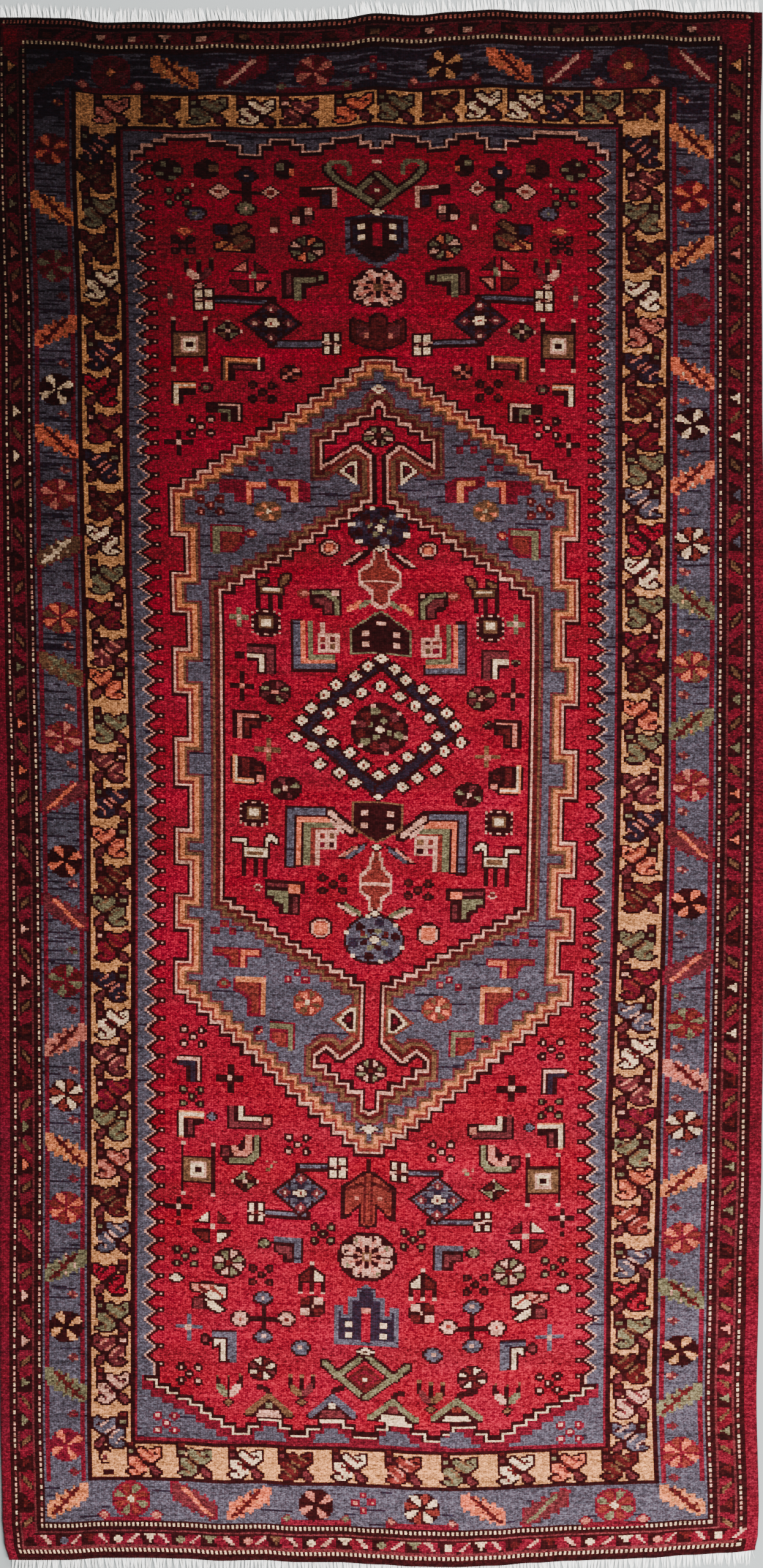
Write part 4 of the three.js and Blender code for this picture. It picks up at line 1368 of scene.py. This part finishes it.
def pile_piece():
    """The pile: its top, a quad for every four knots, and its rounded edge down to the weave."""
    rng = np.random.default_rng(5)
    x, y = knot_grid()
    swell = 0.7 * np.sin(2 * np.pi * x / 310 + y / 460) * np.cos(2 * np.pi * y / 460)
    z = PILE_TOP + swell + rng.normal(0, 0.12, x.shape)
    top = np.stack([x, y, z], -1).reshape(-1, 3)
    outer = top[RIM].copy()
    ahead = np.roll(outer, -1, 0) - outer
    ahead /= np.linalg.norm(ahead[:, :2], axis=1)[:, None]
    out = outwards(ahead + np.roll(ahead, 1, 0))
    top[RIM, :2] -= out * 3
    top[RIM, 2] -= 0.5
    levels, loops = [top], [RIM]
    for inset, height in PILE_EDGE:
        level = outer.copy()
        level[:, :2] -= out * inset
        level[:, 2] = height + (outer[:, 2] - PILE_TOP) * height / PILE_TOP + rng.normal(0, 0.1, len(outer))
        loops.append(len(top) + (len(loops) - 1) * len(RIM) + np.arange(len(RIM)))
        levels.append(level)
    edge = [between(lower, upper) for upper, lower in zip(loops[:-1], loops[1:])]
    piece = made_mesh("wool_pile", np.concatenate(levels), np.concatenate([QUADS, *edge]),
                      np.concatenate([QUAD_UV, *[EDGE_UV[RIM_SIDES]] * len(edge)]))
    give_yarns(piece, np.concatenate([FACES.ravel(), *[RIM_FACES] * len(edge)]))
    columns, rows = np.meshgrid(np.arange(ACROSS + 1) * STEP, np.arange(ALONG + 1) * STEP)
    for name, knots in (("knot_column", columns.ravel()), ("knot_row", rows.ravel())):
        give(piece, name, np.concatenate([knots, *[knots[RIM]] * len(edge)]), "POINT")
    smooth(piece)
    return piece


def back_piece():
    """The woven back, with the same knots seen from below, and its rim turned up inside the pile."""
    x, y = knot_grid()
    z = 0.25 + np.random.default_rng(8).normal(0, 0.04, x.shape)
    flat = np.stack([x, y, z], -1).reshape(-1, 3)
    upper = flat[RIM].copy()
    out = outwards(np.roll(upper, -1, 0) - np.roll(upper, 1, 0))
    flat[RIM, :2] -= out * 1.8
    upper[:, :2] -= out * 0.9
    upper[:, 2] = 2.4
    # seen from below, a face's corners run the other way round
    turned = [0, 3, 2, 1]
    edge = between(RIM, len(flat) + np.arange(len(RIM)))
    piece = made_mesh("woven_back", np.concatenate([flat, upper]), np.concatenate([QUADS[:, turned], edge]),
                      np.concatenate([QUAD_UV[:, turned], np.full((len(RIM), 4, 2), 0.5)]))
    give_yarns(piece, np.concatenate([FACES.ravel(), RIM_FACES]))
    return piece


WARPS, CLUSTERS = 1560, 210
# A warp's radius in millimetres, from its root to its tip, and its number of sides.
WARP_RADIUS = np.array([0.62, 0.62, 0.56, 0.44, 0.12])
WARP_SIDES = 4


def fringe_piece(name, side, seed):
    """One end's cotton warps: thin tapered strands that leave the last row of knots, in loose clusters."""
    rng = np.random.default_rng(seed)
    u = (np.arange(WARPS) + 0.5) / WARPS
    u = 0.004 + u * 0.992 + rng.normal(0, 0.0004, WARPS)
    x, y = on_sheet(u, np.full(WARPS, 1.0 if side > 0 else 0.0))
    layer = rng.random(WARPS)
    place = u * CLUSTERS + 0.4 * np.sin(u * 57)
    cluster = np.floor(place).astype(int)
    longer = rng.normal(0, 1.7, CLUSTERS + 10)[cluster]
    length = rng.normal(17.6, 1.3, WARPS) + longer + 1.2 * np.sin(u * 61 + seed)
    gather = (place - cluster - 0.5) / CLUSTERS * 1050
    leaning = rng.normal(0, 1.6, CLUSTERS + 10)[cluster]
    lean = 1.2 * np.sin(u * 23 + seed) - 2.6 * (side > 0) + leaning + rng.normal(0, 0.7, WARPS)
    t = np.linspace(0, 1, len(WARP_RADIUS))[None, :]
    centre_x = x[:, None] + lean[:, None] * t ** 1.3 - gather[:, None] * 0.8 * t
    centre_x += rng.normal(0, 0.25, (WARPS, 1)) * np.sin(t * 5)
    centre_y = y[:, None] + side * (length[:, None] * t - 3.2 * (1 - t))
    centre_z = 2.3 * (1 - t) ** 1.5 + 0.7 + 1.7 * layer[:, None] * (1 - 0.6 * t)
    radius = (WARP_RADIUS[None, :] * rng.uniform(0.8, 1.15, (WARPS, 1)))[:, :, None]
    turn = turns(WARP_SIDES)
    points = np.repeat(np.stack([centre_x, centre_y, centre_z], -1)[:, :, None, :], WARP_SIDES, 2)
    points[..., 0] += radius * np.cos(turn) * -side
    points[..., 2] += radius * np.sin(turn)
    index = np.arange(points.size // 3).reshape(points.shape[:3])
    lower, upper = index[:, :-1, :], index[:, 1:, :]
    quads = np.stack([lower, upper, np.roll(upper, -1, 2), np.roll(lower, -1, 2)], -1).reshape(-1, 4)
    tips, roots = index[:, -1, ::-1], index[:, 0, :]
    piece = made_mesh(name, points.reshape(-1, 3), np.concatenate([quads, tips, roots]))
    smooth(piece)
    return piece


def linear(colour):
    """A colour of 0 to 255 in each part, as a shader takes it."""
    c = np.array(colour, float) / 255
    return [*np.where(c <= 0.04045, c / 12.92, ((c + 0.055) / 1.055) ** 2.4), 1.0]


class Nodes:
    """A new material with its nodes and its shader."""

    def __init__(self, name):
        self.material = bpy.data.materials.new(name)
        self.material.use_nodes = True
        self.tree = self.material.node_tree
        self.shader = self.tree.nodes["Principled BSDF"]

    def feed(self, socket, value):
        """Sets an input to a value, or links it to another node's output."""
        if isinstance(value, bpy.types.NodeSocket):
            self.tree.links.new(value, socket)
        else:
            socket.default_value = value

    def shade(self, **inputs):
        for name, value in inputs.items():
            self.feed(self.shader.inputs[name.replace("_", " ")], value)

    def add(self, kind, settings=None, **inputs):
        """A node with its settings, and its inputs by name, or by number after an i."""
        node = self.tree.nodes.new("ShaderNode" + kind)
        for name, value in (settings or {}).items():
            setattr(node, name, value)
        for name, value in inputs.items():
            numbered = name[0] == "i" and name[1:].isdigit()
            self.feed(node.inputs[int(name[1:]) if numbered else name.replace("_", " ")], value)
        return node

    def math(self, operation, *values):
        node = self.add("Math", {"operation": operation})
        for socket, value in zip(node.inputs, values):
            self.feed(socket, value)
        return node.outputs[0]

    def times(self, first, second):
        return self.math("MULTIPLY", first, second)

    def scaled(self, value, factor, more=0.0):
        return self.math("MULTIPLY_ADD", value, factor, more)

    def held(self, value, least, most):
        return self.math("MINIMUM", self.math("MAXIMUM", value, least), most)

    def where(self):
        return self.add("TexCoord").outputs["Object"]

    def attribute(self, name):
        return self.add("Attribute", {"attribute_name": name}).outputs["Fac"]

    def noise(self, where, stretch, detail=2.0, roughness=0.5):
        """Noise over the piece, finer the more a direction is stretched."""
        place = self.add("Mapping", Vector=where, Scale=stretch).outputs[0]
        noise = self.add("TexNoise", Vector=place, Scale=1.0, Detail=detail, Roughness=roughness)
        return noise.outputs["Fac"]

    def bump(self, height, strength, distance):
        bump = self.add("Bump", Height=height, Strength=strength, Distance=distance)
        self.feed(self.shader.inputs["Normal"], bump.outputs[0])

    def ramp(self, place, stops, interpolation="LINEAR"):
        """The colour at a place, from a list of places and colours."""
        ramp = self.add("ValToRGB", i0=place)
        ramp.color_ramp.interpolation = interpolation
        elements = ramp.color_ramp.elements
        for k, (at, colour) in enumerate(stops):
            stop = elements[k] if k < 2 else elements.new(at)
            stop.position, stop.color = at, colour
        return ramp.outputs[0]


def yarn_colour(nodes, where, local, fuzz):
    """The colour of the knot under a point, with its edge frayed by fuzz, in knots."""
    frayed = nodes.add("TexNoise", Vector=where, Scale=900.0, Detail=2.0, Roughness=0.7)
    split = nodes.add("SeparateColor", Color=frayed.outputs["Color"])
    place = []
    for axis in (0, 1):
        off = nodes.scaled(split.outputs[axis], 2 * fuzz, -fuzz)
        at = nodes.math("ADD", nodes.scaled(local.outputs[axis], 2.0, 1.0), off)
        place.append(nodes.held(nodes.math("FLOOR", at), 0.0, 3.0))
    row = 0.0
    for k, name in enumerate(YARN_ROWS):
        is_it = nodes.math("COMPARE", place[1], float(k), 0.5)
        row = nodes.scaled(nodes.attribute(name), is_it, row)
    count = float(len(LETTERS))
    # the row's number in base sixteen holds one yarn in each digit
    shifted = nodes.math("DIVIDE", nodes.math("ADD", row, 0.02), nodes.math("POWER", count, place[0]))
    index = nodes.math("FLOOR", nodes.math("MODULO", nodes.math("FLOOR", shifted), count))
    stops = [(k / count, linear(YARNS[letter][1:])) for k, letter in enumerate(LETTERS)]
    return nodes.ramp(nodes.math("DIVIDE", nodes.math("ADD", index, 0.5), count), stops, "CONSTANT")


# The painted shade on the wool: how much light it keeps, at places from the foot (0) to the head (1), and
# from left to right. It darkens the wool ninefold towards the head, and darkens the side borders, the left
# one most.
PAINTED_SHADE_ALONG = {0: 0.52, 0.3: 0.46, 0.45: 0.4, 0.6: 0.32, 0.68: 0.24, 0.8: 0.165, 0.9: 0.1, 1: 0.056}
PAINTED_SHADE_ACROSS = {0: 0.9, 0.06: 0.66, 0.2: 0.72, 0.26: 0.92, 0.65: 1, 0.78: 0.96, 0.88: 0.84, 1: 0.8}
# The dark colour of the painted shade between the tufts.
GAP_SHADE_COLOUR = (70, 16, 20)
# The tint of the dark yarns in the painted shade towards the head.
HEAD_SHADE_TINT = (1.0, 0.68, 0.74, 1.0)


def painted_shade_shares(nodes, where):
    """How light the painted shade leaves the wool by its place along the rug, and by its place across it,
    less so at the foot.
    """
    at = nodes.add("SeparateXYZ", Vector=where)
    level = nodes.scaled(at.outputs["X"], -0.1, nodes.scaled(at.outputs["Y"], 0.45, 0.5))
    aside = nodes.scaled(at.outputs["X"], 0.92, 0.5)
    along_it, across_it = (
        nodes.ramp(place, [(stop, (share, share, share, 1)) for stop, share in table.items()])
        for place, table in ((level, PAINTED_SHADE_ALONG), (aside, PAINTED_SHADE_ACROSS)))
    partly = nodes.math("MINIMUM", nodes.times(level, 3.0), 1.0)
    return along_it, nodes.scaled(nodes.math("SUBTRACT", across_it, 1.0), partly, 1.0)


def wool(name, fuzz, depth, with_painted_shade):
    """Dyed wool in knots: streaks of dye, painted light and shade on the tufts and knots, painted shade in
    the gaps, and, where asked, painted shade that deepens from the foot to the head.
    """
    nodes = Nodes(name)
    where = nodes.where()
    local = nodes.add("SeparateXYZ", Vector=nodes.add("UVMap", {"uv_map": "knot"}).outputs[0])
    colour = yarn_colour(nodes, where, local, fuzz)
    streaks = nodes.noise(where, (4, 150, 1), 3.0, 0.65)
    bands = nodes.noise(where, (0.8, 26, 1))
    clouds = nodes.noise(where, (9, 14, 1))
    tufts = nodes.noise(where, (330, 620, 300), 3.0, 0.75)
    clumps = nodes.noise(where, (130, 300, 100), 2.0, 0.6)
    # each knot of the pile has its own shade; the back has no such numbers, and takes one shade
    column, row = (nodes.math("FLOOR", nodes.attribute(number)) for number in ("knot_column", "knot_row"))
    knot = nodes.add("CombineXYZ", X=column, Y=row).outputs[0]
    each = nodes.add("TexWhiteNoise", Vector=knot).outputs["Value"]
    # every knot is a small mound
    slopes = []
    for axis in (0, 1):
        part = nodes.math("FRACT", nodes.times(local.outputs[axis], 2.0))
        slopes.append(nodes.math("SINE", nodes.times(part, np.pi)))
    mound = nodes.math("POWER", nodes.times(*slopes), 0.5)
    # the value: streaks, bands and clouds of dye, clumps and each knot's own tone, and painted light and
    # shade on the tufts and on each knot's mound, lighter on their tops and darker low down
    value = nodes.scaled(streaks, 1.5, 0.3)
    parts = ((bands, 0.9), (clouds, 0.5), (tufts, 3.3), (clumps, 2.2), (each, 0.7), (mound, 0.35))
    for part, share in parts:
        value = nodes.times(value, nodes.scaled(part, share, 1 - share / 2))
    paleness = nodes.add("RGBToBW", Color=colour).outputs[0]
    if with_painted_shade:
        along_it, across_it = painted_shade_shares(nodes, where)
        # pale yarns take less of the painted shade, and are made lighter
        light = nodes.math("POWER", paleness, 3.0)
        painted_shade_factor = nodes.math("POWER", nodes.times(along_it, across_it), nodes.scaled(light, -0.15, 1.0))
        value = nodes.times(nodes.times(value, painted_shade_factor), nodes.scaled(light, 1.1, 1.0))
        value = nodes.math("MINIMUM", value, 1.0)
    else:
        value = nodes.times(value, 0.5)
    # painted shade in the hollows between the tufts: where the tufts are low, the colour is mixed towards a
    # dark brown-red
    dark = nodes.held(nodes.scaled(tufts, -2.2, 1.35), 0.0, 0.6)
    mixed = nodes.add("Mix", {"data_type": "RGBA"}, i0=dark, i6=colour, i7=linear(GAP_SHADE_COLOUR)).outputs[2]
    shown = nodes.add("HueSaturation", Color=mixed, Value=value, Hue=nodes.scaled(clouds, -0.01, 0.504),
                      Saturation=nodes.scaled(bands, 0.06, 0.975)).outputs[0]
    if with_painted_shade:
        # where the painted shade deepens towards the head, the dark yarns are tinted deeper and warmer
        head_shade_share = nodes.times(nodes.math("MAXIMUM", nodes.scaled(along_it, -2.2, 0.8), 0.0),
                            nodes.math("MAXIMUM", nodes.scaled(paleness, -2.4, 1.0), 0.0))
        shown = nodes.add("Mix", {"data_type": "RGBA", "blend_type": "MULTIPLY"}, i0=head_shade_share, i6=shown,
                          i7=HEAD_SHADE_TINT).outputs[2]
    height = nodes.scaled(tufts, 1.4, nodes.times(mound, 0.6))
    # dark yarns have worn lower
    tall = nodes.math("MINIMUM", nodes.times(paleness, 12.0), 1.0)
    nodes.bump(nodes.scaled(tall, 0.6, height), depth, 0.0012)
    nodes.shade(Base_Color=shown, Roughness=0.92, Specular_IOR_Level=0.025)
    nodes.shade(Sheen_Weight=0.025, Sheen_Roughness=0.5)
    return nodes.material


def cotton():
    nodes = Nodes("undyed cotton warp")
    where = nodes.where()
    shades = [(0.3, linear((244, 240, 232))), (0.6, linear((253, 252, 249)))]
    colour = nodes.ramp(nodes.noise(where, (260, 30, 1)), shades)
    nodes.shade(Base_Color=colour, Roughness=0.9, Sheen_Weight=0.15)
    nodes.bump(nodes.noise(where, (900, 500, 700)), 0.5, 0.0004)
    return nodes.material


pile = pile_piece()
pile.data.materials.append(wool("knotted wool pile", 0.38, 0.6, True))
back = back_piece()
back.data.materials.append(wool("woven back", 0.08, 0.7, False))
warp = cotton()
fringes = [fringe_piece("head_warps", 1, 11), fringe_piece("foot_warps", -1, 23)]
for piece in fringes:
    piece.data.materials.append(warp)
for piece in (pile, back, *fringes):
    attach(piece, "root")
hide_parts("knotted_sheet")
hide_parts("head_fringe")
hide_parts("foot_fringe")


# The floor, the lights and the camera, straight above the rug.
def floor_piece():
    bpy.ops.mesh.primitive_plane_add(size=40, location=(0, 0, -0.0005))
    plane = bpy.context.object
    plane.name = "floor"
    nodes = Nodes("pale floor")
    nodes.shade(Base_Color=linear((140, 145, 144)), Roughness=0.8)
    plane.data.materials.append(nodes.material)


def area_light(name, place, target, size, power):
    light = bpy.data.lights.new(name, "AREA")
    light.shape, light.size, light.energy = "SQUARE", size, power
    lamp = bpy.data.objects.new(name, light)
    lamp.location = place
    lamp.rotation_euler = (Vector(target) - Vector(place)).to_track_quat("-Z", "Y").to_euler()
    bpy.context.scene.collection.objects.link(lamp)


floor_piece()
area_light("foot light", (0.7, -1.75, 1.7), (0.1, -0.5, 0), 1.5, 156)
area_light("head light", (0.7, 1.6, 1.7), (0.1, 0.9, 0), 1.4, 140)
world = bpy.data.worlds.new("studio")
world.use_nodes = True
sky = world.node_tree.nodes["Background"]
sky.inputs["Color"].default_value = (0.9, 0.93, 1.0, 1)
sky.inputs["Strength"].default_value = 0.5
bpy.context.scene.world = world

# The photograph spans this many metres of the rug, and its middle is this many millimetres off the sheet's.
SPAN, OFF_MIDDLE = 2.176, (6.8, 5.1)
view = bpy.data.cameras.new("camera")
view.lens, view.sensor_width, view.dof.use_dof = 70, 36, False
eye = bpy.data.objects.new("camera", view)
eye.location = (
    (OFF_MIDDLE[0] + SHIFT[0]) / 1000,
    (OFF_MIDDLE[1] + SHIFT[1]) / 1000,
    PILE_TOP / 1000 + SPAN * view.lens / view.sensor_width,
)
bpy.context.scene.collection.objects.link(eye)
bpy.context.scene.camera = eye
